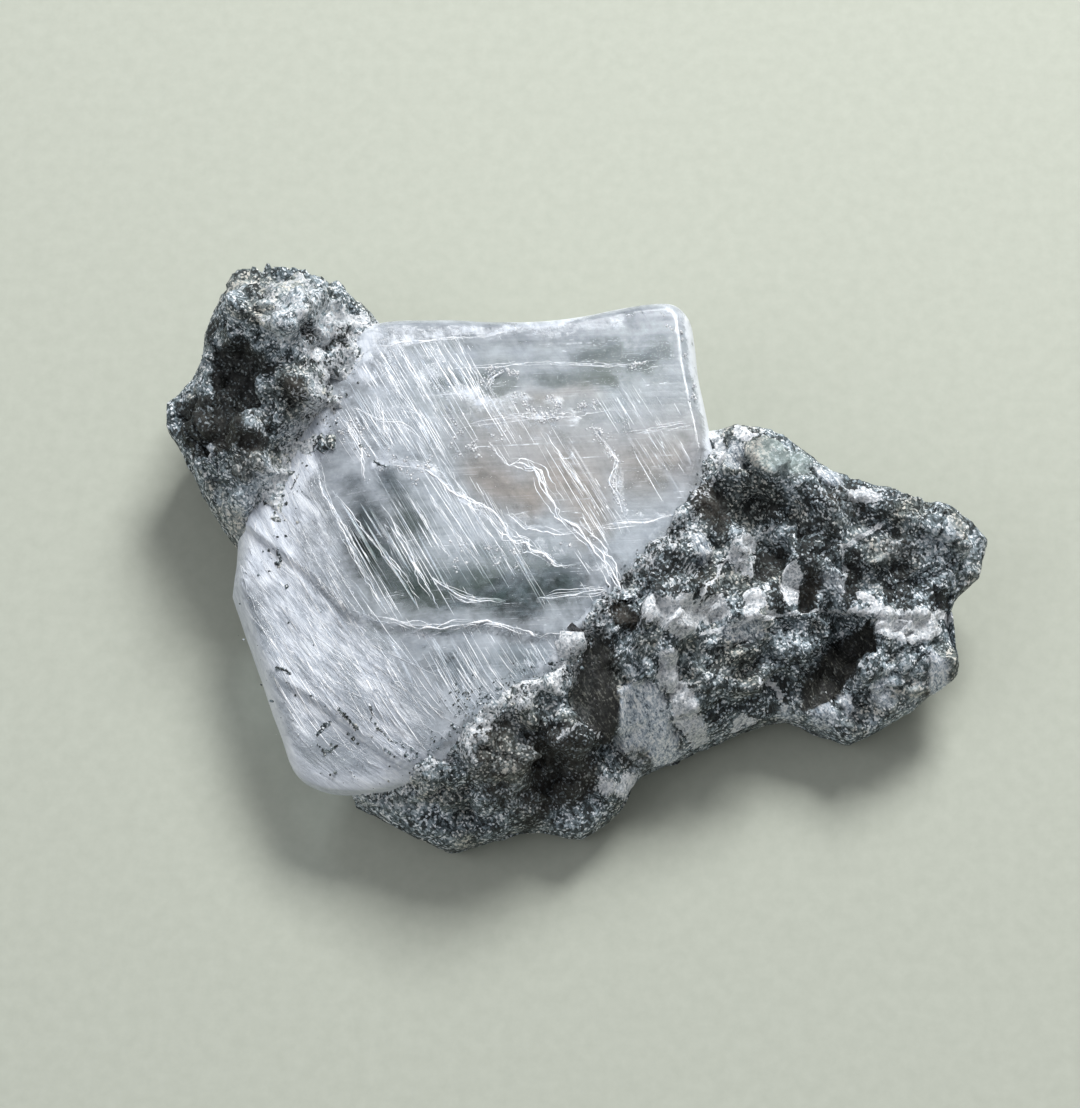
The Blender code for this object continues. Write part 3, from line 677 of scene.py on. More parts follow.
def crystal_values(surface):
    """White cover, frost with a painted glow at the clear edges, milk, window tints of painted shade, and
    the places along the fibres over both sides of the crystal.
    """
    xy = surface.plan
    shifted = xy + STAIN_STRAY * strayed(xy, 3.0, (5, 9))
    milk = milk_at(shifted)
    edge = eased(*WHITE_EDGE, surface.inset)
    knob_side = eased(*WHITE_BY_KNOB, -line_distance(shifted, KNOB_BORDER))
    ledge_side = eased(*WHITE_BY_LEDGE, -line_distance(shifted, LEDGE_BORDER))
    clear = (1 - veil_share(shifted, VEILS)) * (1 - 0.78 * milk) * (1 - 0.9 * edge)
    clear *= (1 - 0.5 * knob_side) * (1 - 0.55 * ledge_side)
    # Painted shade: the olive and the brown window tints darken the crystal where a shaded backdrop would
    # show through it.
    olive = veil_share(shifted, SHADED_WINDOWS)
    along, across = flow_places(xy)
    values = {
        "cover": (1 - clear) * (1 - 0.5 * olive),
        # Frost at the clear edges: partly frosted gypsum, partly painted glow of light through the edge.
        "frost": np.maximum(edge * (1 - 0.7 * milk), 0.12 * veil_share(shifted, VEILS[:2])),
        "milk": milk,
        "olive": olive,
        "brown": veil_share(shifted, SHADED_BROWN_WINDOWS),
        "cleaved": sheaf_share(xy),
        "along": along,
        "across": across,
    }
    return {key: (value, value) for key, value in values.items()}


# Noise in the crystal: frame, size along, across and through, detail, roughness, distortion.
CRYSTAL_PATTERNS = {
    "fibre": ("flow", (2.2, 0.24, 0.45), 7.0, 0.76, 0.5),  # silky threads, 0.3 mm wide
    "lamella": ("flow", (5.0, 1.1, 1.2), 5.0, 0.62, 1.4),  # parted layers, about 1.1 mm wide
    "cloud": ("growth", (2.4, 2.0, 2.0), 8.0, 0.68, 0.3),  # clouds of fluid flakes, 2 mm across
    "smoke": ("cleavage", (6.0, 3.4, 4.0), 5.0, 0.62, 0.8),  # faint haze, about 4 mm across
    "trace": ("cleavage", (13.0, 0.45, 3.0), 1.0, 0.5, 0.0),  # cleavage cracks, 0.5 mm apart
    "hair": ("growth", (26.0, 0.6, 3.0), 1.0, 0.5, 0.0),  # growth lines, under 1 mm apart
    "band": ("growth", (24.0, 0.9, 2.0), 6.0, 0.66, 0.0),  # growth bands, about 1 mm apart
}


def selenite_material():
    """Selenite, clear gypsum: glassy on its cleavage face, silky white where its fibres have parted."""
    made, tree, output = empty_material("selenite")
    names = ("cover", "frost", "milk", "olive", "brown", "cleaved", "along", "across")
    value = {name: add(tree, "Attribute", out="Fac", attribute_name=name) for name in names}
    cleavage = turned_frame(tree, CLEAVAGE_ANGLE)
    depth = add(tree, "SeparateXYZ", cleavage, out=2)
    frames = {
        "cleavage": cleavage,
        "growth": turned_frame(tree, GROWTH_ANGLE),
        "flow": add(tree, "CombineXYZ", value["along"], value["across"], depth),
    }
    field = patterns(tree, frames, CRYSTAL_PATTERNS)

    # Threads and layers where it is milky, flaky clouds where it is clear.
    threads = add(tree, "Mix", 0.5, named={2: field["lamella"], 3: field["fibre"]})
    threads = add(tree, "Mix", 0.22, named={2: threads, 3: field["smoke"]})
    flakes_or_threads = add(tree, "Mix", value["milk"], named={2: field["cloud"], 3: threads})
    covered = add(tree, "Math", value["cover"], 0.6, flakes_or_threads, operation="MULTIPLY_ADD")
    covered = add(tree, "MapRange", covered, 0.74, 1.0)

    # Hairlines that a noise draws where it lies close to its middle value, and how clearly they show.
    often = add(tree, "MapRange", value["cleaved"], 0.1, 0.7, 0.0, 0.8)
    seldom = add(tree, "MapRange", field["cloud"], 0.42, 0.58, 0.0, 0.85)
    drawn = []
    for noise, half_band, shown in ((field["trace"], 0.018, often), (field["hair"], 0.008, seldom)):
        stops = ((0.5 - half_band, "#000000"), (0.5 + half_band, "#000000"), (0.5, "#ffffff"))
        line = add(tree, "ValToRGB", noise, stops=stops)
        drawn.append(add(tree, "Math", line, shown, operation="MULTIPLY"))
    lines = add(tree, "Math", *drawn, operation="MAXIMUM")
    white = add(tree, "Math", covered, lines, operation="MAXIMUM")

    # Between them hangs a bluish haze in bands, thinner over the windows of painted shade.
    haze = add(tree, "Mix", 0.4, named={2: field["cloud"], 3: field["band"]})
    haze = add(tree, "Mix", 0.4, named={2: haze, 3: field["smoke"]})
    haze = add(tree, "Math", value["olive"], -0.24, haze, operation="MULTIPLY_ADD")
    haze = add(tree, "MapRange", haze, 0.34, 0.62, 0.12, 0.85)
    hazy = add(tree, "Math", white, haze, operation="MAXIMUM")

    # Painted shade: the olive tint, mottled by the clouds, and the brown tint darken the see-through colour
    # in the windows.
    mottled = add(tree, "MapRange", field["cloud"], 0.62, 0.4, 0.45, 1.15)
    dark = add(tree, "Math", value["olive"], mottled, operation="MULTIPLY", use_clamp=True)
    tints = ((value["brown"], "#ada39a"), (dark, "#596762"))
    tint = colour("#bfc5cb")
    for share, code in tints:
        tint = add(tree, "Mix", share, named={6: tint, 7: colour(code)}, out=2, data_type="RGBA")
    silk = add(tree, "ValToRGB", threads, stops=((0.37, "#a6adb6"), (0.61, "#f2f5f8"), (0.49, "#cbd1da")))
    # Hairlines and edges are whiter. At the clear edges this white is partly painted glow of light through
    # the edge.
    bright = add(tree, "Math", lines, value["milk"], operation="SUBTRACT", use_clamp=True)
    bright = add(tree, "Math", bright, value["frost"], operation="MAXIMUM")
    bright = add(tree, "Math", bright, 0.85, operation="MULTIPLY")
    silk = add(tree, "Mix", bright, named={6: silk, 7: colour("#eff2f5")}, out=2, data_type="RGBA")
    shade = add(tree, "Mix", white, named={6: tint, 7: silk}, out=2, data_type="RGBA")

    milkiness = add(tree, "Math", value["milk"], 0.9, 0.08, operation="MULTIPLY_ADD")
    height = add(tree, "Math", threads, milkiness, operation="MULTIPLY")
    height = add(tree, "Math", covered, 0.10, height, operation="MULTIPLY_ADD")
    height = add(tree, "Math", field["band"], 0.06, height, operation="MULTIPLY_ADD")
    bump = add(tree, "Bump", named={"Height": height, "Strength": 1.0, "Distance": 0.3 * MM})
    shader = add(
        tree,
        "BsdfPrincipled",
        named={
            "Base Color": shade,
            "Roughness": add(tree, "MapRange", white, 0.0, 1.0, 0.06, 0.42),
            "IOR": 1.52,
            "Transmission Weight": add(tree, "Math", 1.0, hazy, operation="SUBTRACT", use_clamp=True),
            "Normal": bump,
        },
    )
    # Lamps reach what is sealed inside, less where the crystal is milky.
    lamp_tint = {6: colour("#e6eaec"), 7: colour("#8d9196")}
    lamp_tint = add(tree, "Mix", covered, named=lamp_tint, out=2, data_type="RGBA")
    lamp = add(tree, "BsdfTransparent", lamp_tint)
    is_lamp = add(tree, "LightPath", out="Is Shadow Ray")
    tree.links.new(add(tree, "MixShader", is_lamp, shader, lamp), output.inputs["Surface"])
    absorbing = add(tree, "VolumeAbsorption", colour("#dde1e4"), 14.0)
    tree.links.new(absorbing, output.inputs["Volume"])
    return made


def parted_material(name, alpha):
    """Air in a parted cleavage: bright silvery white, and more or less see-through."""
    made, tree, output = empty_material(name)
    table = {"speckle": ("cleavage", (1.2, 0.25, 0.6), 3.0, 0.6, 0.0)}
    speckle = patterns(tree, {"cleavage": turned_frame(tree, CLEAVAGE_ANGLE)}, table)["speckle"]
    shade = add(tree, "ValToRGB", speckle, stops=((0.32, "#c4ccd6"), (0.55, "#ffffff")))
    sockets = {"Base Color": shade, "Roughness": 0.3}
    if alpha:
        sockets["Alpha"] = add(tree, "MapRange", speckle, 0.3, 0.6, *alpha)
    tree.links.new(add(tree, "BsdfPrincipled", named=sockets), output.inputs["Surface"])
    return made


# ---------------------------------------------------------------- features sealed in the crystal


def crystal_inset(xy):
    """How far inside the crystal's outline each point lies, in plan."""
    front, back = columns_of(CRYSTAL_RIBS, 60, 0.0)
    rim = np.vstack([front, back[::-1], front[:1]])[:, :2]
    return -line_distance(xy, rim)


def well_inside(paths, least):
    """Which of the paths stay at least so far inside the crystal's outline."""
    return crystal_inset(paths[..., :2].reshape(-1, 2)).reshape(paths.shape[:2]).min(1) > least


def face_depth(plan, depth):
    """Points a depth below the crystal's broad face, over an array of places in plan."""
    upper = crystal_heights(plan.reshape(-1, 2))[0].reshape(plan.shape[:-1])
    return np.concatenate([plan, (upper - depth)[..., None]], axis=-1)


RIBBON_TIP = 0.02  # of a ribbon's size, left at its ends


def ribbons(paths, half_across, half_thick, across):
    """Closed ribbons. Each follows its path, an array of stations, and a station's section is a
    diamond: half_across to each side along the across direction, half_thick along the normal to it.
    Both shrink to a point at the ends as sqrt(1 - (2 t - 1)^2), t being the share of the way along.
    They are one number, or one for each path or station."""
    count, stations = paths.shape[:2]
    t = np.linspace(0, 1, stations)
    taper = np.sqrt(np.clip(1 - (2 * t - 1) ** 2, 0, 1))
    taper[[0, -1]] = RIBBON_TIP
    along = np.gradient(paths, axis=1)
    along /= np.linalg.norm(along, axis=2, keepdims=True) + 1e-12
    across = across[:, None, :] - (across[:, None, :] * along).sum(2, keepdims=True) * along
    across /= np.linalg.norm(across, axis=2, keepdims=True) + 1e-12
    normal = np.cross(along, across)
    wide = (half_across * taper)[..., None]
    thick = (half_thick * taper)[..., None]
    corners = (wide * across, thick * normal, -wide * across, -thick * normal)
    points = np.stack([paths + corner for corner in corners], axis=2)
    ids = np.arange(count * stations * 4).reshape(count, stations, 4)
    following = np.roll(ids, -1, axis=2)
    walls = np.stack([ids[:, :-1], ids[:, 1:], following[:, 1:], following[:, :-1]], axis=3)
    caps = np.concatenate([ids[:, 0], ids[:, -1, ::-1]])
    return points.reshape(-1, 3), np.vstack([walls.reshape(-1, 4)[:, ::-1], caps])


def mostly_low(rng, count, low, high, power):
    """Random numbers from low to high, crowded towards the low end by a power above 1."""
    return low + (high - low) * rng.random(count) ** power


def merged(parts):
    """One set of points and faces from several."""
    points, faces, base = [], [], 0
    for part_points, part_faces in parts:
        points.append(part_points)
        faces.append(part_faces + base)
        base += len(part_points)
    return np.vstack(points), np.vstack(faces)


FILM_STATIONS = 8
FILM_PROUD = 0.035  # how far the edge of a parted film stands above the face
FILM_SCATTER = (0.24, 0.55)  # standard deviation along and across a sheaf, as a share of its size
FILM_LENGTH = (0.12, 1.12)  # as a share of the sheaf's
FILM_HEIGHT = (0.06, 0.36)  # half of it
FILM_THICKNESS = (0.02, 0.08)  # half of it
FACE_FILMS = 0.75  # the share of the films that reach the face
DEEPEST_FILM = 0.5  # how far below the face the others lie, at most
FILM_BEND = 1.2  # how far a bent sheaf's films turn over its length, as an angle
FILM_TREMOR = 0.01
FILM_TURN = math.radians(1.3)  # how much they stray from the cleavage, as a standard deviation
FILM_LEAN = math.radians(20)  # how much they lean from upright, as a standard deviation
EDGE_MARGIN = 1.1  # how far the films keep from the crystal's outline


def cleavage_films(rng):
    """Thin films along the cleavage, in sheaves. Most reach the face as a hairline, a few lie deeper,
    and some lean over and show as silvery bands."""
    parts = []
    along = np.array([math.cos(CLEAVAGE_ANGLE), math.sin(CLEAVAGE_ANGLE)])
    side = np.array([-along[1], along[0]])
    t = np.linspace(-0.5, 0.5, FILM_STATIONS)
    for centre, length, spread, count, bend in SHEAVES:
        offset = rng.normal(0, FILM_SCATTER[1] * spread, count)
        shift = rng.normal(0, FILM_SCATTER[0] * length, count)
        middles = np.array(centre) + offset[:, None] * side + shift[:, None] * along
        lengths = length * mostly_low(rng, count, *FILM_LENGTH, 1.8)
        heading = rng.normal(0, FILM_TURN, count) + CLEAVAGE_ANGLE
        place = shift[:, None] / length + 0.5 * t
        heading = heading[:, None] + FILM_BEND * bend * np.clip(place + 0.1, 0, None)
        step = lengths[:, None, None] * np.diff(t)[0] * np.stack([np.cos(heading), np.sin(heading)], 2)
        plan = middles[:, None] - 0.5 * lengths[:, None, None] * along + np.cumsum(step, axis=1)
        plan += rng.normal(0, FILM_TREMOR, plan.shape)
        tall = mostly_low(rng, count, *FILM_HEIGHT, 3)
        at_face = rng.random(count) < FACE_FILMS
        below = np.where(at_face, -FILM_PROUD, mostly_low(rng, count, 0, DEEPEST_FILM, 2))
        lean = rng.normal(0, FILM_LEAN, count)
        paths = face_depth(plan, (tall * np.cos(lean) + below)[:, None])
        across = np.column_stack([side * np.sin(lean)[:, None], -np.cos(lean)])
        thick = mostly_low(rng, count, *FILM_THICKNESS, 3)
        kept = well_inside(paths, EDGE_MARGIN)
        parts.append(ribbons(paths[kept], tall[kept, None], thick[kept, None], across[kept]))
    return merged(parts)


STRAND_STATIONS = 12
STRAND_DEPTH = 0.06  # half of a strand's depth
SILK_STRANDS = 520
SILK_REACH = (-4.0, 16.0)  # the largest X and Y at which a silky strand may start
SILK_MARGIN = 0.7  # how far the silky strands keep from the crystal's outline
SILK_LENGTH = (1.2, 11.2)
SILK_THICKNESS = (0.012, 0.057)  # half of it
SILK_DRIFT = 0.16  # across the fibres for each millimetre along them, as a standard deviation
SILK_WANDER = 0.07  # of each station from the one before, as a standard deviation
SILK_NORMAL = (0.1, 0.1, -1.0)  # the way down through a strand


def silk_strands(rng):
    """Fine raised threads of the milky side. Each follows the bent fibres and wanders across them by a
    running sum of random steps."""
    low = np.array(CRYSTAL_RIBS)[:, :2].min(0)
    start = rng.uniform(low, SILK_REACH, (6 * SILK_STRANDS, 2))
    start = start[rng.random(len(start)) < milk_at(start) ** 3][:SILK_STRANDS]
    count = len(start)
    along, across = flow_places(start)
    t = np.linspace(0, 1, STRAND_STATIONS)
    length = mostly_low(rng, count, *SILK_LENGTH, 2)
    along = along[:, None] + length[:, None] * t
    drift = rng.normal(0, SILK_DRIFT, count)[:, None] * length[:, None] * t
    wander = rng.normal(0, SILK_WANDER, (count, STRAND_STATIONS)).cumsum(1)
    across = across[:, None] + drift + wander
    angle = along / FLOW_RADIUS
    plan = np.array(FLOW_CENTRE) - across[..., None] * np.stack([np.cos(angle), np.sin(angle)], 2)
    paths = face_depth(plan, STRAND_DEPTH - FILM_PROUD)
    kept = well_inside(paths, SILK_MARGIN)
    thick = mostly_low(rng, count, *SILK_THICKNESS, 3)
    return ribbons(paths[kept], STRAND_DEPTH, thick[kept, None], np.array([SILK_NORMAL]))


# Healed cracks across the crystal: plan points, plan width, and lean of the crack from upright.
CRACKS = (
    (((-8.9, 10.3), (-8.2, 8.7), (-7.0, 7.5), (-5.8, 7.5), (-4.9, 6.8), (-3.9, 6.4), (-3.2, 4.5),
        (-2.2, 2.7), (-1.7, 1.4), (-0.1, -0.1), (1.8, -1.9), (2.9, -3.4), (3.9, -5.3), (4.3, -6.4)),
        0.50, 35),
    (((-0.4, 0.2), (1.7, -1.7), (2.9, -3.4), (3.8, -5.2), (4.4, -6.8)), 0.55, 35),
    (((-20.4, 7.6), (-18.2, 7.1), (-15.4, 6.6), (-13.4, 5.0), (-12.2, 3.9), (-10.5, 3.0), (-9.1, 2.4),
        (-7.9, 1.1), (-7.2, -0.3), (-6.3, -1.1), (-5.3, -1.4), (-4.6, -2.1), (-3.1, -2.7), (-2.0, -3.7),
        (-0.4, -3.7), (0.8, -3.2)), 0.52, 30),
    (((-7.5, 1.9), (-6.3, 1.1), (-5.3, 0.3), (-4.2, 0.3), (-2.7, -0.1), (-1.0, -0.4), (1.0, 0.0)),
        0.30, 40),
    (((11.0, 1.9), (7.5, 1.1), (4.0, 0.7), (0.9, 0.2)), 0.22, 20),
    (((-14.7, -4.9), (-13.1, -6.2), (-11.1, -7.2), (-9.3, -7.4), (-7.1, -7.4)), 0.32, 50),
    (((-4.2, -7.4), (-1.6, -7.0), (1.3, -6.6), (2.9, -6.4)), 0.28, 50),
    (((-22.6, -7.6), (-20.8, -8.4), (-18.6, -9.5), (-16.4, -10.2), (-13.8, -10.3), (-11.5, -10.0),
        (-9.3, -9.7), (-7.1, -10.3), (-4.8, -11.0), (-3.2, -11.3), (-1.6, -11.0), (1.7, -10.3)),
        0.35, 40),
    (((-21.8, 20.4), (-18.0, 21.0), (-14.8, 21.2)), 0.22, 15),
    (((-18.5, 20.4), (-14.8, 21.2), (-10.6, 21.6), (-6.3, 22.2)), 0.14, 15),
    (((-14.3, 17.7), (-9.0, 18.1), (-3.9, 18.5), (2.9, 18.3), (8.3, 18.9)), 0.12, 15),
    (((-11.6, 11.6), (-6.3, 12.4), (-1.5, 12.4), (1.9, 12.9), (7.0, 13.4)), 0.16, 15),
    (((4.8, 10.9), (8.0, 11.3), (11.5, 11.8)), 0.13, 15),
    (((1.6, 11.2), (3.3, 8.9), (4.0, 7.4), (3.5, 5.3), (4.0, 3.7), (4.7, 1.7)), 0.24, 45),
    (((-9.2, 15.5), (-8.7, 16.8), (-7.5, 17.6)), 0.25, 45),
    (((-13.5, 7.6), (-10.5, 2.5), (-6.2, -4.7)), 0.14, 25),
    (((-14.8, 21.4), (-13.0, 18.0), (-11.3, 14.7)), 0.18, 25),
    (((-21.6, 16.8), (-20.2, 14.6), (-19.6, 11.8), (-18.4, 9.0)), 0.22, 25),
    (((-24.2, 13.2), (-22.6, 10.8), (-21.8, 8.2), (-21.4, 5.6)), 0.22, 25),
    (((-22.8, 14.0), (-20.4, 12.4), (-17.6, 11.6), (-15.2, 9.0)), 0.16, 25),
    (((-20.2, 18.8), (-17.8, 14.6), (-15.6, 12.2)), 0.14, 25),
    (((-18.0, 19.6), (-16.0, 15.8), (-14.2, 12.8)), 0.14, 25),
    (((-26.6, 9.0), (-25.4, 4.6), (-23.4, 0.4), (-21.4, -3.4)), 0.16, 25),
    (((-24.4, 2.0), (-21.2, -4.4), (-18.8, -8.8)), 0.14, 25),
    (((-17.4, 4.6), (-14.4, -0.6), (-12.6, -3.2)), 0.14, 25),
    (((-15.6, 5.4), (-12.2, -0.2), (-9.2, -4.8)), 0.12, 25),
    (((-12.9, 22.2), (-10.5, 17.0), (-8.2, 11.6)), 0.14, 25),
    (((-3.4, 11.0), (-1.0, 7.2), (1.6, 3.0)), 0.16, 25),
    (((-25.0, 5.6), (-20.0, -1.5), (-15.7, -7.4)), 0.16, 25),
    (((-19.9, 3.4), (-16.5, -3.0), (-13.7, -8.5)), 0.16, 25),
)
CRACK_STEP = 0.22  # distance between the stations of a crack
CRACK_STRANDS = 7  # strands braided along a crack
CRACK_LEAN = 0.2  # of those strands from upright, as an angle
SKIRT_THICKNESS = 0.01  # half of it, of the film that dips away beneath a crack
SKIRT_TOP = 0.12  # how far below the face that film starts
MAIN_SHARE, SIDE_SHARE = 0.42, 0.18  # half-width of the first strand and of the others, of the crack's
STRAND_LEAST = 0.02  # half-width that every strand has on top of that
STRAND_SPREAD = 1.1  # how far strands lie to the side, as a share of the crack's width
STRAND_START, STRAND_RUN = (0, 0.6), (0.2, 0.5)  # where the others start, and how long they run
BARBS = 3.5  # for each square millimetre of crack
BARB_STATIONS = 5
BARB_DEPTH, BARB_THICKNESS = 0.05, 0.028  # half of each, for the barbs along a crack
BARB_LENGTH = (0.2, 2.0)
BARB_TURN = 0.12  # of the barbs from the cleavage, as a standard deviation
JAGS = ((7, 1.0), (2.2, 0.45))  # of a crack's path: how many stations apart, and share of the amount


def zigzag(count, spacing, rng):
    """A line of random numbers that runs straight from one to the next, spacing stations apart."""
    knots = max(3, int(count / spacing))
    return np.interp(np.linspace(0, 1, count), np.linspace(0, 1, knots), rng.normal(0, 1, knots))


def jagged(path, rng, amount):
    """A crack's path moved by a coarse and a fine zigzag, and not at its ends."""
    t = np.linspace(0, 1, len(path))
    hold = np.minimum(1, 8 * np.minimum(t, 1 - t))[:, None]
    sway = [sum(share * zigzag(len(path), spacing, rng) for spacing, share in JAGS) for _ in (0, 1)]
    return path + amount * hold * np.column_stack(sway)


def leaning(side, angle):
    """The way down that leans by an angle towards a side, given in plan."""
    return np.array([[*(side * math.sin(angle)), -math.cos(angle)]])


def crack_parts(rng):
    """Cracks that run across the crystal: braided jagged strands where each meets the face, with barbs
    along the cleavage, and a see-through film that dips away beneath them."""
    strands, skirts = [], []
    for points, width, lean in CRACKS:
        length = np.linalg.norm(np.diff(points, axis=0), axis=1).sum()
        stations = max(10, int(length / CRACK_STEP))
        middle = through(points, np.linspace(0, 1, stations))
        heading = np.array(points[-1]) - np.array(points[0])
        heading /= np.linalg.norm(heading)
        right = np.array([heading[1], -heading[0]])
        upright = leaning(right, CRACK_LEAN)
        for strand in range(CRACK_STRANDS):
            first, last, shift, share = 0, stations, 0.0, MAIN_SHARE
            if strand:
                first = int(rng.uniform(*STRAND_START) * stations)
                last = min(stations, first + int(rng.uniform(*STRAND_RUN) * stations) + 4)
                shift, share = rng.normal(0, STRAND_SPREAD * width), SIDE_SHARE
            plan = jagged(middle[first:last] + shift * right, rng, 0.10 + 0.15 * width)
            swell = np.clip(0.5 + 0.45 * zigzag(last - first, 4, rng), 0.12, 1.5)
            path = face_depth(plan, STRAND_DEPTH - FILM_PROUD)
            half_width = share * width * swell + STRAND_LEAST
            strands.append(ribbons(path[None], STRAND_DEPTH, half_width, upright))
        barbs = int(BARBS * length * width)
        roots = through(points, rng.random(barbs)) + rng.normal(0, 0.4 * width, (barbs, 2))
        turn = CLEAVAGE_ANGLE + rng.normal(0, BARB_TURN, barbs)
        reach = rng.choice([-1, 1], barbs) * mostly_low(rng, barbs, *BARB_LENGTH, 2.5)
        t = np.linspace(0, 1, BARB_STATIONS)[None, :, None]
        ways = np.column_stack([np.cos(turn), np.sin(turn)])[:, None]
        plan = roots[:, None] + reach[:, None, None] * t * ways
        paths = face_depth(plan, BARB_DEPTH - FILM_PROUD)
        paths = paths[well_inside(paths, EDGE_MARGIN)]
        strands.append(ribbons(paths, BARB_DEPTH, BARB_THICKNESS, upright))
        plan = jagged(middle, rng, 0.1)
        dip = math.radians(lean)
        reach = width * np.clip(0.9 + 0.6 * zigzag(stations, 6, rng), 0.1, 2.2)
        path = face_depth(plan + 0.5 * width * right * math.sin(dip), SKIRT_TOP + reach * math.cos(dip))
        skirts.append(ribbons(path[None], reach, SKIRT_THICKNESS, leaning(right, dip)))
    return merged(strands), merged(skirts)


# Strings and clouds of tiny parted flakes: plan line, spread to each side, and number of clumps.
FLAKE_STRINGS = (
    (((1.6, 11.2), (3.3, 8.9), (4.0, 7.4), (3.5, 5.3), (4.0, 3.7), (4.7, 1.7)), 0.35, 26),
    (((-9.3, 16.4), (-8.9, 17.4), (-8.0, 17.9), (-6.0, 17.5)), 0.4, 18),
    (((-6.2, 15.4), (-4.8, 13.6), (-3.4, 12.6), (-1.8, 12.7)), 0.6, 34),
    (((-3.0, 15.0), (-2.2, 14.2), (-1.3, 13.0)), 0.3, 12),
    (((0.0, 14.3), (0.6, 13.5), (1.7, 14.1)), 0.4, 10),
    (((1.9, 11.0), (3.0, 10.2)), 0.4, 8),
    (((6.2, 18.0), (6.8, 18.6)), 0.4, 3),
    (((-13.0, 13.0), (-11.0, 9.0), (-9.0, 10.0)), 1.3, 22),
    (((-13.0, -2.0), (-7.0, -2.5)), 1.6, 12),
    (((-6.0, -3.0), (2.0, -2.0)), 1.2, 8),
    (((-25.0, 14.0), (-20.0, 8.0), (-15.0, 7.0)), 1.8, 40),
    (((8.0, 24.0), (11.5, 20.0), (12.0, 12.0)), 0.9, 8),
)
CLUMP_FLAKES = 24  # flakes in a clump
CLUMP_SPREAD = (0.08, 0.32)  # narrowest and widest, as a standard deviation
FLAKE_MARGIN = 0.6  # how far the flakes keep from the crystal's outline
FLAKE_DEPTH = (-0.02, 0.18)  # below the face
FLAKE_SIZES = (0.03, 0.19)  # smallest and largest radius
FLAKE_FLATNESS = 0.12  # half of a flake's thickness, as a share of its radius
FLAKE_SIDES = 6
RIM_REACH = (0.55, 1.15)  # how far the corners of a ragged rim reach, as a share of its radius
RIM_SHIFT = 0.3  # how far they shift round it, as an angle


def flakes(centres, radii, squash, tumbled, rng):
    """Small closed lenses: a ragged rim and two poles. Each is turned its own way in space when
    tumbled, and otherwise lies level and is turned in plan only."""
    count, ring = len(centres), np.arange(FLAKE_SIDES)
    corners = (count, FLAKE_SIDES)
    around = ring * 2 * np.pi / FLAKE_SIDES + rng.uniform(-RIM_SHIFT, RIM_SHIFT, corners)
    reach = radii[:, None] * rng.uniform(*RIM_REACH, corners)
    rim = np.stack([reach * np.cos(around), reach * np.sin(around), np.zeros(corners)], axis=2)
    pole = np.zeros((count, 1, 3))
    pole[:, 0, 2] = squash * radii
    local = np.concatenate([rim, pole, -pole], axis=1)
    axes = rng.normal(size=(count, 3, 3)) if tumbled else np.tile(np.eye(3), (count, 1, 1))
    axes[:, :2, :2] += 0 if tumbled else rng.normal(0, 0.6, (count, 2, 2))
    axes = np.linalg.qr(axes)[0]
    axes *= np.sign(np.linalg.det(axes))[:, None, None]
    points = centres[:, None] + local @ axes
    following = (ring + 1) % FLAKE_SIDES
    upper = np.column_stack([ring, following, np.full(FLAKE_SIDES, FLAKE_SIDES)])
    under = np.column_stack([following, ring, np.full(FLAKE_SIDES, FLAKE_SIDES + 1)])
    faces = np.vstack([upper, under])[None] + (FLAKE_SIDES + 2) * np.arange(count)[:, None, None]
    return points.reshape(-1, 3), faces.reshape(-1, 3)


def veil_flakes(rng):
    """Clumps of tiny flakes strewn along the strings, more of them small than large."""
    parts = []
    for line, spread, clumps in FLAKE_STRINGS:
        middle = through(line, rng.random(clumps)) + rng.normal(0, 0.5 * spread, (clumps, 2))
        wide = rng.uniform(*CLUMP_SPREAD, clumps).repeat(CLUMP_FLAKES)[:, None]
        plan = middle.repeat(CLUMP_FLAKES, axis=0) + wide * rng.normal(0, 1, (clumps * CLUMP_FLAKES, 2))
        plan = plan[crystal_inset(plan) > FLAKE_MARGIN]
        centres = face_depth(plan, mostly_low(rng, len(plan), *FLAKE_DEPTH, 2))
        radii = mostly_low(rng, len(plan), *FLAKE_SIZES, 2)
        parts.append(flakes(centres, radii, FLAKE_FLATNESS, False, rng))
    return merged(parts)


# Dark grains caught in the crystal: plan place and radius.
SPECKS = (
    (-26.6, 10.7, 0.40), (-26.0, 10.6, 0.70), (-25.3, 10.5, 0.75), (-24.8, 9.8, 0.55),
    (-26.1, 11.2, 0.45), (-25.0, 11.0, 0.45), (-25.4, 9.9, 0.60), (-25.7, 10.4, 1.00),
    (-25.1, 10.2, 0.90), (-25.9, 10.0, 1.00), (-25.2, 10.7, 0.80), (-21.9, 9.6, 0.28),
    (-20.1, 7.5, 0.26), (-19.4, 7.2, 0.22), (-31.8, 5.0, 0.42), (-29.6, 4.6, 0.34), (-29.6, 1.2, 0.22),
    (-30.3, -0.6, 0.34), (-30.5, -1.4, 0.38), (-29.4, -4.0, 0.34), (-26.1, -6.7, 0.14),
    (-25.8, -7.1, 0.16), (-29.1, -7.9, 0.18), (-26.5, -10.5, 0.13), (-30.7, -15.8, 0.30),
    (-28.3, -15.3, 0.22), (-22.9, -19.4, 0.26), (-22.4, -19.9, 0.34), (-21.9, -20.4, 0.24),
    (-20.1, -18.9, 0.24), (-19.9, -19.4, 0.22), (-19.2, -21.4, 0.18), (-18.7, -21.8, 0.22),
    (-18.2, -22.2, 0.18), (-25.2, -21.2, 0.26), (-24.6, -20.3, 0.22), (-25.5, -20.7, 0.15),
    (-24.2, -23.0, 0.26), (-24.7, -23.2, 0.18), (-26.6, -20.3, 0.12),
)
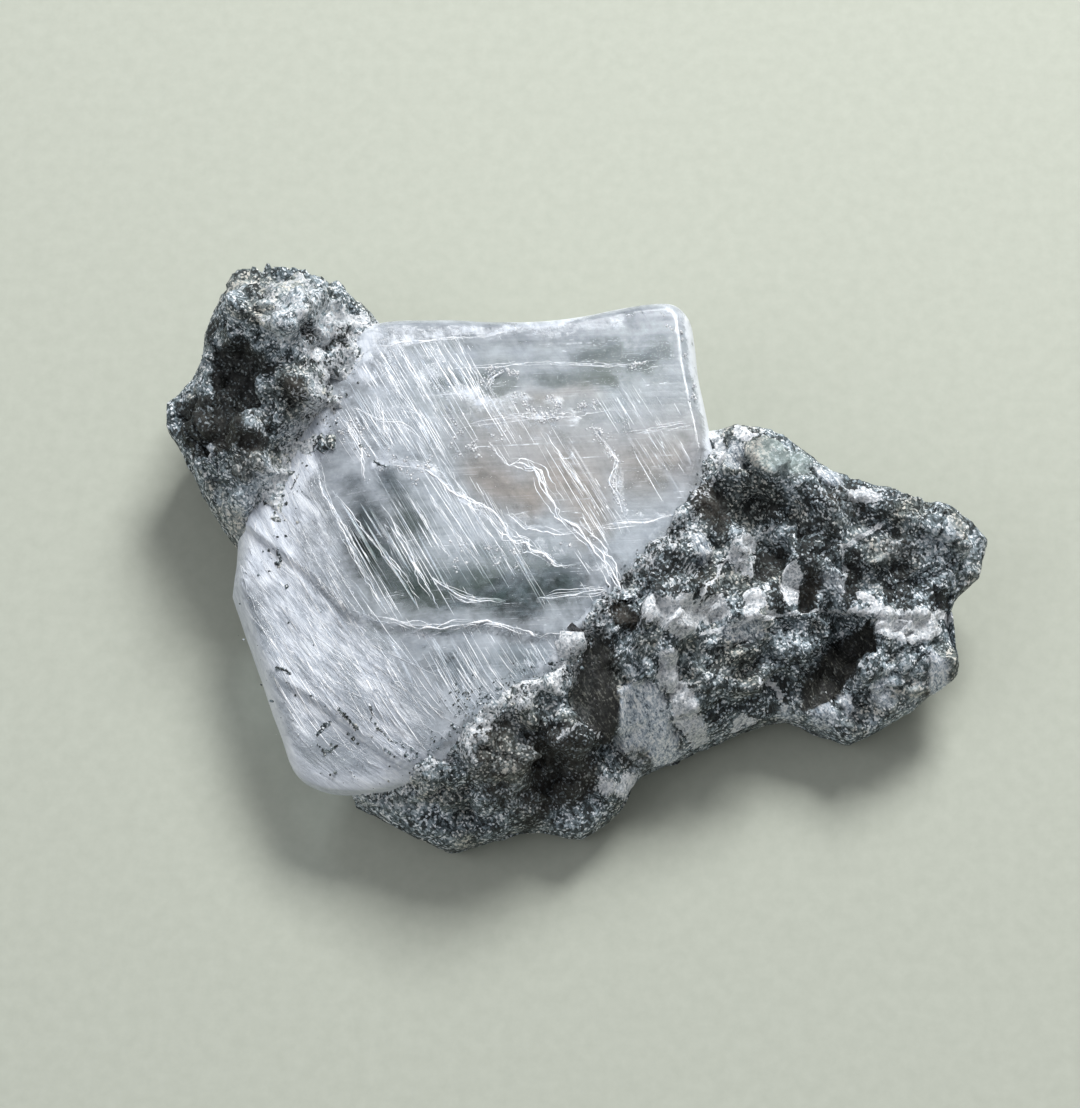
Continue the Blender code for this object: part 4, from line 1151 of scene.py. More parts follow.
# Smaller grains strewn along lines: plan line, spread to each side, number and largest radius.
STRAY_SPECKS = (
    (((-22.5, 21.0), (-25.5, 12.0), (-29.5, 3.5), (-31.5, -2.0)), 1.3, 120, 0.24),
    (((-33.0, -4.0), (-30.0, -16.0), (-24.0, -23.0), (-18.0, -24.0)), 1.6, 70, 0.20),
    (((-16.0, -23.0), (-10.0, -19.5), (-4.0, -16.0), (0.0, -12.5)), 1.5, 330, 0.28),
    (((-12.0, -18.0), (-6.0, -16.5)), 1.6, 300, 0.18),
    (((-30.5, -13.6), (-27.0, -15.6), (-23.5, -18.2), (-18.5, -22.5)), 0.5, 30, 0.16),
    (((0.0, -12.0), (5.0, -5.0), (11.0, 1.5), (13.5, 8.0)), 0.9, 190, 0.26),
)
# Dark clay in the open edge of a layer: plan points and half-width.
CLAY_SEAMS = (
    (((-23.9, -17.1), (-23.2, -17.9), (-22.7, -18.4), (-22.0, -19.1)), 0.24),
    (((-19.9, -19.3), (-19.2, -20.0), (-18.5, -20.7), (-17.6, -20.9)), 0.14),
    (((-17.5, -21.0), (-17.0, -21.8), (-16.6, -22.8)), 0.16),
    (((-20.7, -17.2), (-20.4, -17.9), (-20.6, -18.5)), 0.16),
    (((-24.8, -18.1), (-25.3, -18.5), (-26.0, -19.3)), 0.30),
    (((-24.1, -20.5), (-24.7, -20.9), (-25.5, -20.8)), 0.26),
    (((-20.6, 7.8), (-19.8, 7.3), (-19.0, 7.2)), 0.16),
    (((-30.3, -12.6), (-29.5, -12.8), (-28.8, -13.3)), 0.22),
    (((-30.5, -0.3), (-30.1, -1.0), (-30.3, -1.8)), 0.26),
)
SMALLEST_SPECK = 0.04
SPECK_FLATNESS = 0.8
SEAM_SPECKS = 60  # for each millimetre of a seam
SEAM_SIZES = (0.2, 0.7)  # of its specks, as a share of its half-width


def dark_specks(rng):
    """Grains of rock in the crystal's skin: ragged lumps, flattened along the face, and ragged seams."""
    specks = np.array(SPECKS)
    plan, radii = [specks[:, :2]], [specks[:, 2]]
    for line, spread, count, largest in STRAY_SPECKS:
        plan.append(through(line, rng.random(count)) + rng.normal(0, 0.6 * spread, (count, 2)))
        radii.append(mostly_low(rng, count, SMALLEST_SPECK, largest, 2.5))
    for line, half_width in CLAY_SEAMS:
        count = int(SEAM_SPECKS * np.linalg.norm(np.diff(line, axis=0), axis=1).sum())
        plan.append(through(line, rng.random(count)) + rng.normal(0, 0.3 * half_width, (count, 2)))
        radii.append(half_width * mostly_low(rng, count, *SEAM_SIZES, 2))
    radii = np.concatenate(radii)
    return flakes(face_depth(np.vstack(plan), 0.0), radii, SPECK_FLATNESS, True, rng)


# ---------------------------------------------------------------- the rock

# White veins: plan points, half-width and strength.
VEINS = (
    (((12.2, -10.4), (14.4, -9.5), (16.7, -9.1), (18.3, -8.5), (20.4, -7.7), (22.4, -7.3), (25.6, -6.6),
        (28.1, -6.8), (30, -6.7)), 0.2, 1.0),
    (((6.1, -8.4), (8.4, -8.4), (11.2, -7.5)), 0.16, 1.0),
    (((6.1, -10), (8.1, -10.4), (10.1, -11.4)), 0.28, 1.0),
    (((13.3, -18.6), (15.2, -17.7), (16.8, -16.3), (18, -16.2), (19.5, -16.7)), 0.3, 1.0),
    (((14.3, -18.4), (16.4, -17.2), (18.3, -17.3), (19.7, -17.9)), 0.14, 0.9),
    (((18, -13.6), (19.9, -13.8), (20.8, -14.7), (21.4, -15.9)), 0.28, 0.9),
    (((30.5, 1.4), (28.7, 0.2), (26.7, -1)), 0.28, 0.9),
    (((26.7, -1), (27.2, -3.1), (26.8, -5.7)), 0.3, 0.6),
    (((28.6, -5.4), (30.6, -6.6), (32.5, -7.3), (35, -7.1), (37.1, -6.3), (38.2, -5.9)), 0.5, 1.0),
    (((18.7, -5), (18.6, -6.5), (18.9, -7.8), (20.6, -7.5)), 0.2, 0.9),
    (((6.1, -11.7), (7.2, -13.3), (7.9, -14.8)), 0.15, 0.5),
    (((12.2, -7.3), (13.4, -5.5), (14.4, -4.1), (14.6, -2.9)), 0.3, 0.8),
    (((16.4, 1.4), (17.3, 0.9), (18.7, 0.8), (20.1, 1.2)), 0.2, 0.7),
    (((9.8, -3), (11.2, -3.5), (12.4, -4.1)), 0.25, 0.8),
    (((-1.8, -20.4), (0.7, -19.4), (2.2, -20.2)), 0.3, 0.6),
    (((3.2, -20.1), (4.4, -20.6), (6.2, -19.9), (7.8, -19.2)), 0.2, 0.7),
    (((-2.3, -16.5), (-1.6, -14.2), (-0.6, -11.2)), 0.5, 0.9),
)
# Borders of the deep pit, of a dark nook beside the crystal and of the knob's pale top.
PIT = (
    (29.4, -7.2), (30.2, -7.9), (30.6, -10.9), (28.8, -11), (27.5, -12.8), (26, -14.6), (22.9, -15.4),
    (23.7, -12.3), (26.6, -8.9),
)
DARK_NOOK = ((3, -8), (4.4, -7.7), (6.1, -10), (5.7, -10.8), (3.8, -10.1))
KNOB_TOP = (
    (-32.1, 25.1), (-28.2, 25.7), (-24.2, 24.8), (-20.8, 24.4), (-23, 22.4), (-25.1, 19.2),
    (-26.3, 17.4), (-28, 17.6), (-29.8, 18.3), (-32, 19.7), (-32.3, 21.7),
)
# Patches with a border of their own: what they are, points of the border, strength, and how far they stand
# above the rock round them. The darker patches are partly dark rock and partly painted shade in pits,
# crevices and on a flank of the knob.
PATCHES = (
    ("slate", ((4.4, -15.4), (7.8, -15.2), (8.3, -16.2), (9.7, -17.9), (10.5, -19.2), (11.8, -20.0),
        (11.4, -21.0), (8.8, -21.6), (7.8, -20.6), (6.2, -20.0), (4.6, -20.3), (4.1, -17.5)), 1.0, 0),
    ("hollow", ((12.4, 5.1), (14, 5.4), (15.4, 3), (15.6, 1.6), (14.5, -0.2), (12.7, 1.3), (11.3, 2.5)),
        1.0, -1.0),
    ("brown", ((12.3, 4.3), (13.6, 4.7), (14.5, 2.2), (15.4, 1.5), (13.1, 1.1)), 0.8, 0),
    # The deep pit is darkened partly as dark rock and partly as painted shade in its depth.
    ("hollow", PIT, 1.0, -0.8),
    ("facet", PIT, 0.9, 0),
    ("brown", ((27.3, -10.9), (28.4, -10.4), (28.8, -12), (28.1, -12.9), (27.3, -12.1)), 0.5, 0.7),
    ("hollow", ((18.7, -1.4), (20.5, -0.5), (20.6, -2.3), (19.6, -4.1), (18.3, -4.5)), 1.0, -0.8),
    ("hollow", ((22.7, -3.4), (24, -3.2), (24.6, -4.1), (23.8, -5.7), (23.7, -7), (22.6, -7),
        (22.4, -4.9)), 1.0, -0.6),
    ("brown", ((22.7, -3.4), (24, -3.2), (24.6, -4.1), (23.8, -5.7), (22.7, -5.7)), 0.8, 0),
    ("hollow", DARK_NOOK, 0.9, -0.4),
    ("brown", DARK_NOOK, 0.8, 0),
    ("hollow", ((32.2, -2.3), (33.5, -2.3), (33.5, -3.4), (32.3, -3.4)), 0.9, -0.5),
    ("hollow", ((18.6, -5.5), (20, -4.6), (20.7, -5.2), (20.5, -7.1), (19.1, -7.7)), 0.7, 0.4),
    ("hollow", ((27.2, -1.3), (28.2, -1.1), (28.5, -4.6), (27.6, -6.6), (27.1, -5.5)), 0.7, -0.5),
    ("hollow", ((31, -4.1), (31.9, -4.1), (31.8, -5.9), (31, -5.7)), 0.6, -0.3),
    ("hollow", ((32.5, -4), (33.7, -4.1), (33.8, -6.6), (32.5, -6.4)), 0.6, -0.4),
    ("hollow", ((6.5, -3.9), (7.4, -2.4), (9.1, -1.8), (11.2, -4.2), (13.4, -6), (12.4, -7.3),
        (10.4, -8.1), (8.2, -7.5), (7.2, -5.8)), 0.45, 1.0),
    ("brown", ((11.2, -4.6), (12.5, -4.1), (13.8, -5.4), (13, -6.7), (11.7, -6.2)), 0.7, 0),
    ("hollow", ((18.7, 3.2), (19.7, 3.8), (20.9, 3.1), (21.1, 1.8), (19.9, 1.4), (18.8, 2.2)), 0.5, 0.8),
    ("hollow", ((16.7, 6.1), (18.6, 6.2), (20.6, 4.2), (20.3, 2.5), (18.1, 2.1), (16.8, 2.9)), 0.3, 0),
    ("hollow", ((22.2, 1.5), (25.9, 1.4), (26.7, -0.8), (26.3, -2.2), (22.8, -3.2), (22, -1.4)),
        0.45, 0),
    ("hollow", ((35.8, -4.2), (37.1, -3.9), (37.8, -5), (37.4, -6), (35.7, -6)), 0.5, 0.5),
    ("hollow", ((14.2, -10.6), (21.4, -10), (22.4, -13.6), (19.3, -15.9), (14.1, -17.8), (12.2, -15.7),
        (12.4, -12.1)), 0.12, 0),
    ("hollow", ((2.5, -11.2), (3.7, -11.7), (4, -17.2), (3.4, -20), (1.8, -21), (1.2, -18.5)),
        0.9, -0.4),
    ("hollow", ((-4.7, -20), (-0.8, -19), (2.2, -20.2), (1.3, -24), (-3.3, -25.5), (-5.7, -24.1)),
        0.6, -0.3),
    ("vein", ((-10.9, -20.2), (-8.1, -17.5), (-5.3, -15.5), (-2.3, -14.5), (-2.1, -10.3), (0.5, -10.3),
        (0, -13.2), (-0.7, -16.2), (-1.6, -18.6), (-3.9, -20.2), (-6.2, -19), (-7.6, -18.6), (-8.8, -21),
        (-9.9, -23.4), (-12.2, -22.8)), 0.16, 0),
    ("hollow", ((-12, -22), (-7, -20), (-1, -18.5), (1, -21), (3, -24), (-2, -28.5), (-9, -29),
        (-13, -26)), 0.12, 0),
    ("brown", ((-12, -21.5), (-6, -19.5), (0, -20.5), (2, -23.5), (-3, -26), (-10, -25)), 0.5, 0),
    # A crevice, darkened with painted shade.
    ("hollow", ((-3.2, -25), (-2.6, -25.6), (-7.2, -30), (-7.9, -29.4)), 0.9, -0.6),
    ("hollow", ((22, 6.5), (30, 5.8), (38, 4.2), (42.3, 2), (42.5, -3), (38, -4), (30, 1), (23, 2)),
        0.2, 0),
    ("brown", ((24.4, 3.9), (27.4, 4.3), (29.2, 2.7), (28.3, 1.9), (25.4, 2.4)), 0.5, 0),
    ("brown", ((30.5, -0.2), (33.1, 0.4), (34.4, -0.7), (32.6, -2.1), (30.9, -1.8)), 0.5, 0),
    ("brown", ((4.7, -20.3), (7.2, -20.1), (7.8, -21.4), (6.2, -22.1), (4.8, -21.7)), 0.5, 0),
    ("brown", ((35.5, -12.5), (36.9, -13.2), (36.4, -14.8), (35, -14.8)), 0.7, 0),
    ("vein", ((16.3, 11.3), (17.3, 11.4), (18.5, 10), (17.7, 9.4), (16.5, 9.8)), 1.0, 0.4),
    ("slate", ((23.7, 6.8), (25.1, 7.2), (26.7, 6.6), (26.8, 5.1), (25.2, 4.9)), 0.7, 0.5),
    ("vein", ((26.4, 4.7), (28.7, 5), (30.5, 4), (30.2, 3.1), (27.9, 3.4)), 0.9, 0.2),
    ("vein", ((30.6, -6.9), (33, -7.1), (36.3, -6.5), (36.8, -8.2), (35.1, -9.6), (32.5, -10),
        (30.9, -9.7), (30.5, -8.3)), 1.0, 0.6),
    ("vein", ((8.2, -12.7), (9.6, -12.4), (10.3, -13.9), (11.8, -15.8), (12.2, -17.2), (13.5, -18.6),
        (12.6, -19.4), (10.7, -18.4), (9.6, -17.1), (8.6, -16), (8, -14.6)), 1.0, 0.5),
    ("vein", ((4.7, -22.2), (6.2, -21.9), (7.2, -22.2), (6.2, -23.7), (4.8, -23.7)), 0.9, 0.3),
    ("vein", ((2, -23), (5.4, -23.3), (5.6, -24.1), (2.8, -24.3)), 0.9, 0.3),
    ("vein", ((20.5, -2.9), (22, -2.8), (22.4, -4.9), (22, -6.4), (20.8, -6.6), (20.5, -4.6)), 1.0, 0.5),
    ("vein", ((16.7, -5.9), (18.3, -5.6), (18.3, -8.2), (16.7, -8.9)), 0.9, 0.2),
    ("vein", ((14.9, -1.8), (16.9, 0.4), (18.5, 0.3), (18, -3.1), (17.3, -4.6), (15.8, -4.3),
        (14.4, -3.3)), 0.6, 0.3),
    ("vein", ((6.3, -8.6), (9, -7.7), (11.4, -7.5), (12.1, -9.4), (10.3, -11.4), (8.1, -10.4),
        (6.2, -10)), 0.9, 0.4),
    ("vein", ((12.2, -7.6), (14.3, -6.6), (14.8, -8.6), (12.6, -9.3)), 0.8, 0.2),
    ("slate", ((14.4, -9.2), (18.1, -8.8), (18, -10.4), (14.6, -10.5)), 0.6, 0.2),
    ("slate", ((7.1, -8.7), (8.2, -8.3), (9.7, -9.4), (8.5, -9.8), (7.3, -9.5)), 0.6, 0.4),
    ("slate", ((20.9, -14.4), (21.7, -15.4), (24.2, -17.2), (26, -17.9), (27, -19.3), (24.7, -19.1),
        (22, -17.8), (20.8, -16.1)), 0.85, 0.5),
    ("slate", ((26.5, -13.7), (27.6, -13.9), (28.5, -15.9), (27.3, -16.5)), 0.7, 0.4),
    ("slate", ((29.7, -13.9), (31.2, -13.7), (31.6, -15.1), (30.3, -15.3)), 0.7, 0.4),
    ("slate", ((24, -15.8), (25.4, -14.7), (26.3, -15.9), (25.7, -17), (24.4, -16.9)), 0.7, 0.3),
    ("slate", ((14.9, 9.3), (15.8, 10), (17, 8.6), (16.7, 6.8), (15.3, 6.7)), 0.5, 0.5),
    ("slate", ((11.3, -0.8), (12.4, -0.2), (13.5, -1.8), (13.6, -2.6), (12.6, -3.4)), 0.6, 0.3),
    ("slate", ((24.5, -3.5), (26.3, -3.4), (27.1, -4.6), (25.8, -4.9)), 0.5, 0.3),
    ("vein", ((13.2, 12.3), (14.1, 12.3), (14.7, 10.5), (14.7, 7.4), (13.9, 9.1)), 0.9, 0.2),
    ("pale", ((26.2, 4.9), (30.5, 4.4), (33.1, 5.3), (37.7, 3.8), (41.7, 3.6), (42.1, 1), (38.9, 1.8),
        (34.6, 1.5), (30.5, 1.4), (27.4, 2.5)), 0.08, 0.0),
    ("pale", ((18.9, 5.4), (20.8, 5.7), (22.4, 4.6), (21.9, 3.4), (20, 3.9)), 0.5, 0.0),
    ("pale", ((30.8, -12), (32.9, -11.4), (35, -12.5), (33.9, -14.7), (31.4, -14.7)), 0.5, 0.0),
    ("pale", ((34.6, 1.5), (41.6, 2.1), (41.3, -2.5), (37.6, -3.5), (35.1, -2)), 0.4, 0.0),
    ("green", ((18.9, 8.7), (21.4, 8.8), (23.1, 7.7), (23, 5.7), (20.9, 4.9), (19.2, 6)), 1.0, 1.0),
    ("pale", ((17.5, 8.6), (18.9, 8.4), (19.1, 6), (17.8, 6.8)), 0.9, 0.3),
    ("pale", KNOB_TOP, 0.4, 0.0),
    ("vein", KNOB_TOP, 0.40, 0.0),
    ("pale", ((-33.6, 26.7), (-32.1, 25.9), (-34.5, 25.8), (-36.7, 24.5), (-37.8, 24.6), (-36, 26.3)),
        0.6, 0.0),
    # Painted shade on the knob's flank that faces away from the light.
    ("hollow", ((-37.3, 21.4), (-34.8, 20.5), (-32.7, 19.6), (-31.2, 18.6), (-30.2, 16.8), (-31, 16),
        (-32.5, 15.8), (-32.1, 14.2), (-33.7, 13), (-35.8, 12.7), (-37.1, 14.4), (-37.6, 18.1)),
        1.0, -1.0),
    ("hollow", ((-38, 24.3), (-37.3, 24.1), (-37.2, 22.3), (-37.7, 21.6), (-38.1, 23.1)), 0.8, -0.4),
    ("hollow", ((-33.4, 25.5), (-32.4, 25.4), (-32.4, 23.2), (-33.4, 23.9)), 0.8, -0.3),
    ("hollow", ((-35.6, 25), (-34.5, 25.1), (-34.4, 23.6), (-35.4, 23.5)), 0.7, -0.3),
    ("hollow", ((-25, 20.5), (-24.1, 21.5), (-23, 21.7), (-23.3, 20.6), (-24.1, 19.5), (-24.9, 19.3)),
        0.7, -0.3),
    ("hollow", ((-22.5, 24.1), (-21.7, 24.4), (-20.6, 23.6), (-22.2, 23.2)), 0.8, -0.3),
    ("hollow", ((-27, 19.9), (-26.2, 20.5), (-26, 19.1), (-26.7, 18.7)), 0.7, -0.3),
    ("hollow", ((-30, 15.4), (-28, 15.2), (-28.1, 13.6), (-29.5, 13.2)), 0.9, -0.5),
    ("brown", ((-29, 14.8), (-28.2, 15), (-28.3, 14), (-28.9, 14)), 1.0, 0.3),
    ("brown", ((-38.7, 15), (-34.8, 12.2), (-32, 13.1), (-31.3, 9.5), (-34, 8.6), (-38, 11)), 0.35, 0.0),
    ("hollow", ((-34.1, 10.2), (-31.9, 10.6), (-31.1, 9.2), (-32.6, 8.5), (-33.8, 8.8)), 0.9, -0.6),
    ("hollow", ((-41.5, 16.7), (-37.6, 15.5), (-34.2, 12.1), (-34.2, 9.3), (-38.5, 9.8), (-40.2, 11)),
        0.9, 0.0),
    ("brown", ((-35.7, 8.5), (-31.8, 8.8), (-31.8, 6.4), (-34.5, 6.2)), 0.5, 0.0),
    ("pale", ((-32.3, 7), (-29.8, 8.4), (-29.4, 5.1), (-32, 4.5), (-33.9, 3.9), (-33.9, 5.3)), 0.5, 0.0),
    ("slate", ((-38.6, 10.9), (-37.8, 11.5), (-37.3, 10.1), (-37.9, 9.5)), 0.7, 0.2),
    ("pale", ((-38.9, 8.3), (-34.1, 5.5), (-32.4, 4.5), (-33.3, 2), (-34.6, 1.3), (-37, 5.1)),
        0.35, 0.0),
)
# How far to each side the edge of a patch eases.
PATCH_SOFTNESS = {
    "vein": 0.2,
    "slate": 0.2,
    "facet": 0.2,
    "hollow": 0.3,
    "green": 0.5,
    "brown": 0.6,
    "pale": 0.9,
}
STAIN_SOFTNESS = 0.15  # the same for the stains of the two smooth facets
KNOB_CRUST = (4.6, 0.54)  # how far a crust of gypsum grains reaches from the border, and its strength
LEDGE_CRUST = (2.2, 0.42)
CRUST_GAP = 0.3  # beyond the crystal's border, where a crust of gypsum grains starts to thin out
UNDERSIDE_SHARE = 0.15  # how strongly the upper side's stains show on the underside
FACET_CALM = 0.88  # how much less relief the smooth facets have
GRAIN_INSET = 2.0  # how far inside the outline the grain reaches its full relief
CHUNK = 20000  # places whose relief is worked out at a time


def rock_values(xy, border, crust_width, crust_strength):
    """Veins, crusts, stains, darker patches of dark rock and painted shade, and smooth facets over the
    rock, in plan. A crust of gypsum grains follows the crystal's border."""
    coarse, fine = strayed(xy, 1.6, (3, 8)), strayed(xy, 0.6, (13, 18))
    frayed = xy + 0.3 * coarse + 0.45 * fine
    crust = eased(crust_width, CRUST_GAP, line_distance(xy + 0.9 * coarse + 0.6 * fine, border))
    veins = veil_share(frayed, VEINS, 0.5)
    values = {name: np.zeros(len(xy)) for name in ("pale", "green", "brown", "hollow")}
    values["vein"] = np.maximum(veins, crust_strength * crust)
    values["slate"] = facet_share(frayed, END_FACET, STAIN_SOFTNESS)
    values["facet"] = facet_share(frayed, DARK_FACET, STAIN_SOFTNESS)
    for kind, outline, strength, _ in PATCHES:
        share = strength * patch_share(frayed, outline, PATCH_SOFTNESS[kind])
        values[kind] = 1 - (1 - values[kind]) * (1 - share)
    return values


def rock_surface(ribs, heights, counts, border, crust, box):
    """The rock's two sides with their broken faces and grain, kept above the base and in its box."""
    surface = BodySurface(ribs, heights, (ROCK_SHOULDER, ROCK_UNDERCUT), counts, ROCK_CROWDING)
    values = rock_values(surface.plan, border, *crust)
    calm = 1 - FACET_CALM * np.maximum(values["slate"], values["facet"])
    rim = surface.on_rim
    level_share = FLANK_RELIEF - OUTLINE_RELIEF * eased(GRAIN_INSET, 0.0, surface.inset)
    normals = [surface.normals(0), surface.normals(1)]
    outward = normals[0] - normals[0] * (0, 0, 1)
    for side in (0, 1):
        points, normal = surface.sides[side], normals[side]
        big, fissure = in_chunks(lambda p: relief_at(p, ROCK_LAYERS, ROCK_CRISPNESS), points, CHUNK).T
        small, _ = in_chunks(lambda p: relief_at(p, GRAIN_LAYERS, GRAIN_CRISPNESS), points, CHUNK).T
        fissure = eased(*FISSURE_SIDES, fissure) * eased(*FISSURE_PLACES, value_noise(points, 4.0, 53))
        small = (small - FISSURE_DEPTH * fissure) * (0.1 + 0.9 * eased(0.0, GRAIN_INSET, surface.inset))
        if side == 0:
            big, small = big * calm, small * calm
            # Painted light and shade: where the grain relief stands high the rock is made lighter, and
            # where it lies low, darker.
            values["raised"] = np.clip(0.5 + 0.75 * small + 0.1 * big, 0, 1)
        level = np.where(rim[:, None], outward, normal * (1, 1, 0))
        moved = points + level * (level_share * big)[:, None]
        moved[:, 2] += surface.rises[side] * big
        moved += np.where(rim[:, None], outward, normal) * small[:, None]
        surface.sides[side] = np.clip(moved, *box)
    surface.sides[1][rim] = surface.sides[0][rim]
    return surface, {key: (value, UNDERSIDE_SHARE * value) for key, value in values.items()}


# Noise in the rock: frame, size along each axis, detail, roughness, distortion.
ROCK_PATTERNS = {
    "patch": ("plain", (3.0, 3.0, 3.0), 2.5, 0.6, 0.5),  # patches of mixed grain, about 3 mm across
    "sugar": ("plain", (0.32, 0.32, 0.32), 3.0, 0.75, 0.0),  # a sugary coat, 0.3 mm across
    "rust": ("plain", (5.0, 5.0, 5.0), 4.0, 0.6, 0.4),  # brownish stretches, about 5 mm across
    "stroke": ("cleaved", (1.4, 0.3, 0.8), 4.0, 0.7, 1.0),  # short scratches and cleaved edges, 0.3 mm wide
}
GRAIN_SIZES = (0.22, 0.5, 1.7)  # single grains, crumbs of some grains, and larger clumps


def host_rock_material():
    """Dark granular rock: a sugary mass of black, grey and white grains with glints on their faces."""
    made, tree, output = empty_material("granular_host_rock")
    names = ("vein", "pale", "green", "brown", "hollow", "slate", "facet", "raised")
    value = {name: add(tree, "Attribute", out="Fac", attribute_name=name) for name in names}
    plain = turned_frame(tree, 0.0)
    field = patterns(tree, {"plain": plain, "cleaved": turned_frame(tree, CLEAVAGE_ANGLE)}, ROCK_PATTERNS)
    grain_place, grain_colour, grain_random = [], [], []
    for size in GRAIN_SIZES:
        scaled = add(tree, "VectorMath", plain, (1 / size, 1 / size, 1 / size), operation="MULTIPLY")
        cell = add(tree, "TexVoronoi", scaled, named={"Scale": 1.0}, out="Color", feature="F1")
        inward = add(tree, "VectorMath", scaled, cell.node.outputs["Position"], operation="SUBTRACT")
        grain_place.append(inward)
        grain_colour.append(cell)
        grain_random.append(add(tree, "SeparateColor", cell))
    spread = grain_random[0].node.outputs

    stroke = add(tree, "MapRange", field["stroke"], 0.34, 0.66)
    tone = 0.0
    for field_value, weight in (
        (grain_random[0], 0.24),
        # A few grains are white: partly white grains, partly painted glints.
        (add(tree, "MapRange", grain_random[0], 0.70, 0.95), 0.46),  # few grains are white
        (grain_random[1], 0.30),
        (add(tree, "MapRange", grain_random[2], 0.55, 0.60), -0.12),  # some clumps are darker
        (stroke, 0.30),
        (field["patch"], 0.27),
        (field["rust"], 0.20),
        # painted light on high grain, painted shade in low grain
        (value["raised"], 0.17),
        (value["pale"], 0.42),
        # darker patches: partly dark rock, partly painted shade
        (value["hollow"], -0.46),
    ):
        tone = add(tree, "Math", field_value, weight, tone, operation="MULTIPLY_ADD")
    tone = add(tree, "MapRange", tone, 0.145, 1.185)
    stops = (
        (0.0, "#0f1110"),
        (1.0, "#f4f7f9"),
        (0.30, "#252b2b"),
        (0.46, "#495457"),
        (0.62, "#7f8c92"),
        (0.78, "#b6c2c9"),
    )
    stone = add(tree, "ValToRGB", tone, stops=stops)

    scuffed = add(tree, "Mix", 0.3, named={2: stroke, 3: grain_random[0]})
    # The slate facets' colour runs up to white: partly their own blue-grey, partly painted sheen that
    # lightens faces turned from the lamp.
    slate_and_sheen_stops = ((0.15, "#505a64"), (0.75, "#ffffff"), (0.36, "#abb8c5"))
    facet_stops = ((0.25, "#080806"), (0.95, "#85847a"), (0.68, "#2b2b25"))
    slate, facet = (add(tree, "ValToRGB", scuffed, stops=stops) for stops in (slate_and_sheen_stops, facet_stops))
    rusty = add(tree, "MapRange", field["rust"], 0.48, 0.62, 0.0, 0.6)
    rust = {6: stone, 7: colour("#cdbfa4")}
    stone = add(tree, "Mix", rusty, named=rust, out=2, data_type="RGBA", blend_type="MULTIPLY")
    tints = (
        ("green", 0.55, colour("#afbdb9")),
        ("brown", 0.55, colour("#473d30")),
        # darker patches take the dark facet's colour, partly as painted shade
        ("hollow", 0.45, facet),
        ("slate", 0.9, slate),
        ("facet", 0.9, facet),
    )
    for name, strength, tint in tints:
        share = add(tree, "Math", value[name], strength, operation="MULTIPLY")
        stone = add(tree, "Mix", share, named={6: stone, 7: tint}, out=2, data_type="RGBA")
    crumbs = value["vein"]
    clumps = grain_random[1].node.outputs
    for field_value, weight in ((spread[1], 0.25), (clumps[1], 0.30), (stroke, 0.20)):
        crumbs = add(tree, "Math", field_value, weight, crumbs, operation="MULTIPLY_ADD")
    crumbs = add(tree, "MapRange", crumbs, 0.80, 0.92)
    gypsum = add(tree, "ValToRGB", spread[2], stops=((0.1, "#a2a8ac"), (0.9, "#f4f4f4"), (0.4, "#d0d4d7")))
    stone = add(tree, "Mix", crumbs, named={6: stone, 7: gypsum}, out=2, data_type="RGBA")

    # Each grain has a broken face of its own, tilted by its random colour.
    height = field["sugar"]
    for size, inward, cell in zip(GRAIN_SIZES, grain_place, grain_colour):
        tilt = add(tree, "VectorMath", cell, (0.5, 0.5, 0.5), operation="SUBTRACT")
        tilt = add(tree, "VectorMath", inward, tilt, operation="DOT_PRODUCT", out="Value")
        height = add(tree, "Math", tilt, 1.3 * size / GRAIN_SIZES[0], height, operation="MULTIPLY_ADD")
    smooth = add(tree, "Math", value["slate"], value["facet"], operation="MAXIMUM")
    calm = add(tree, "MapRange", smooth, 0.0, 1.0, 1.0, 0.25)
    height = add(tree, "Math", height, calm, operation="MULTIPLY")
    depth = 0.7 * GRAIN_SIZES[0] * MM
    bump = add(tree, "Bump", named={"Height": height, "Strength": 0.6, "Distance": depth})
    sockets = {
        "Base Color": stone,
        "Roughness": add(tree, "MapRange", spread[1], 0.75, 0.98, 0.75, 0.2),
        "IOR": 1.54,
        "Normal": bump,
    }
    tree.links.new(add(tree, "BsdfPrincipled", named=sockets), output.inputs["Surface"])
    return made


# ---------------------------------------------------------------- setting

FLOOR_SIZE = 2400.0
SPAN = 320.0  # camera to subject
TARGET = (-3.65, -3.25, 18.0)
ELEVATION = math.radians(68)
SENSOR_WIDTH = 36.0
FRAME_WIDTH = 108.0  # how much of the subject's plane the frame is wide


def floor():
    half = 0.5 * FLOOR_SIZE
    corners = [(-half, -half, 0), (half, -half, 0), (half, half, 0), (-half, half, 0)]
    mesh = mesh_of("floor", corners, [(0, 1, 2, 3)])
    made, tree, output = empty_material("pale_board")
    table = {"grain": ("plain", (1.5, 1.5, 1.5), 3.0, 0.6, 0.0)}  # a faint mottle, 1.5 mm across
    grain = patterns(tree, {"plain": turned_frame(tree, 0.0)}, table)["grain"]
    shade = add(tree, "ValToRGB", grain, stops=((0.3, "#b1b4a6"), (0.7, "#b7baac")))
    sockets = {"Base Color": shade, "Roughness": 0.8}
    tree.links.new(add(tree, "BsdfPrincipled", named=sockets), output.inputs["Surface"])
    mesh.materials.append(made)
    board = bpy.data.objects.new("floor", mesh)
    bpy.context.scene.collection.objects.link(board)


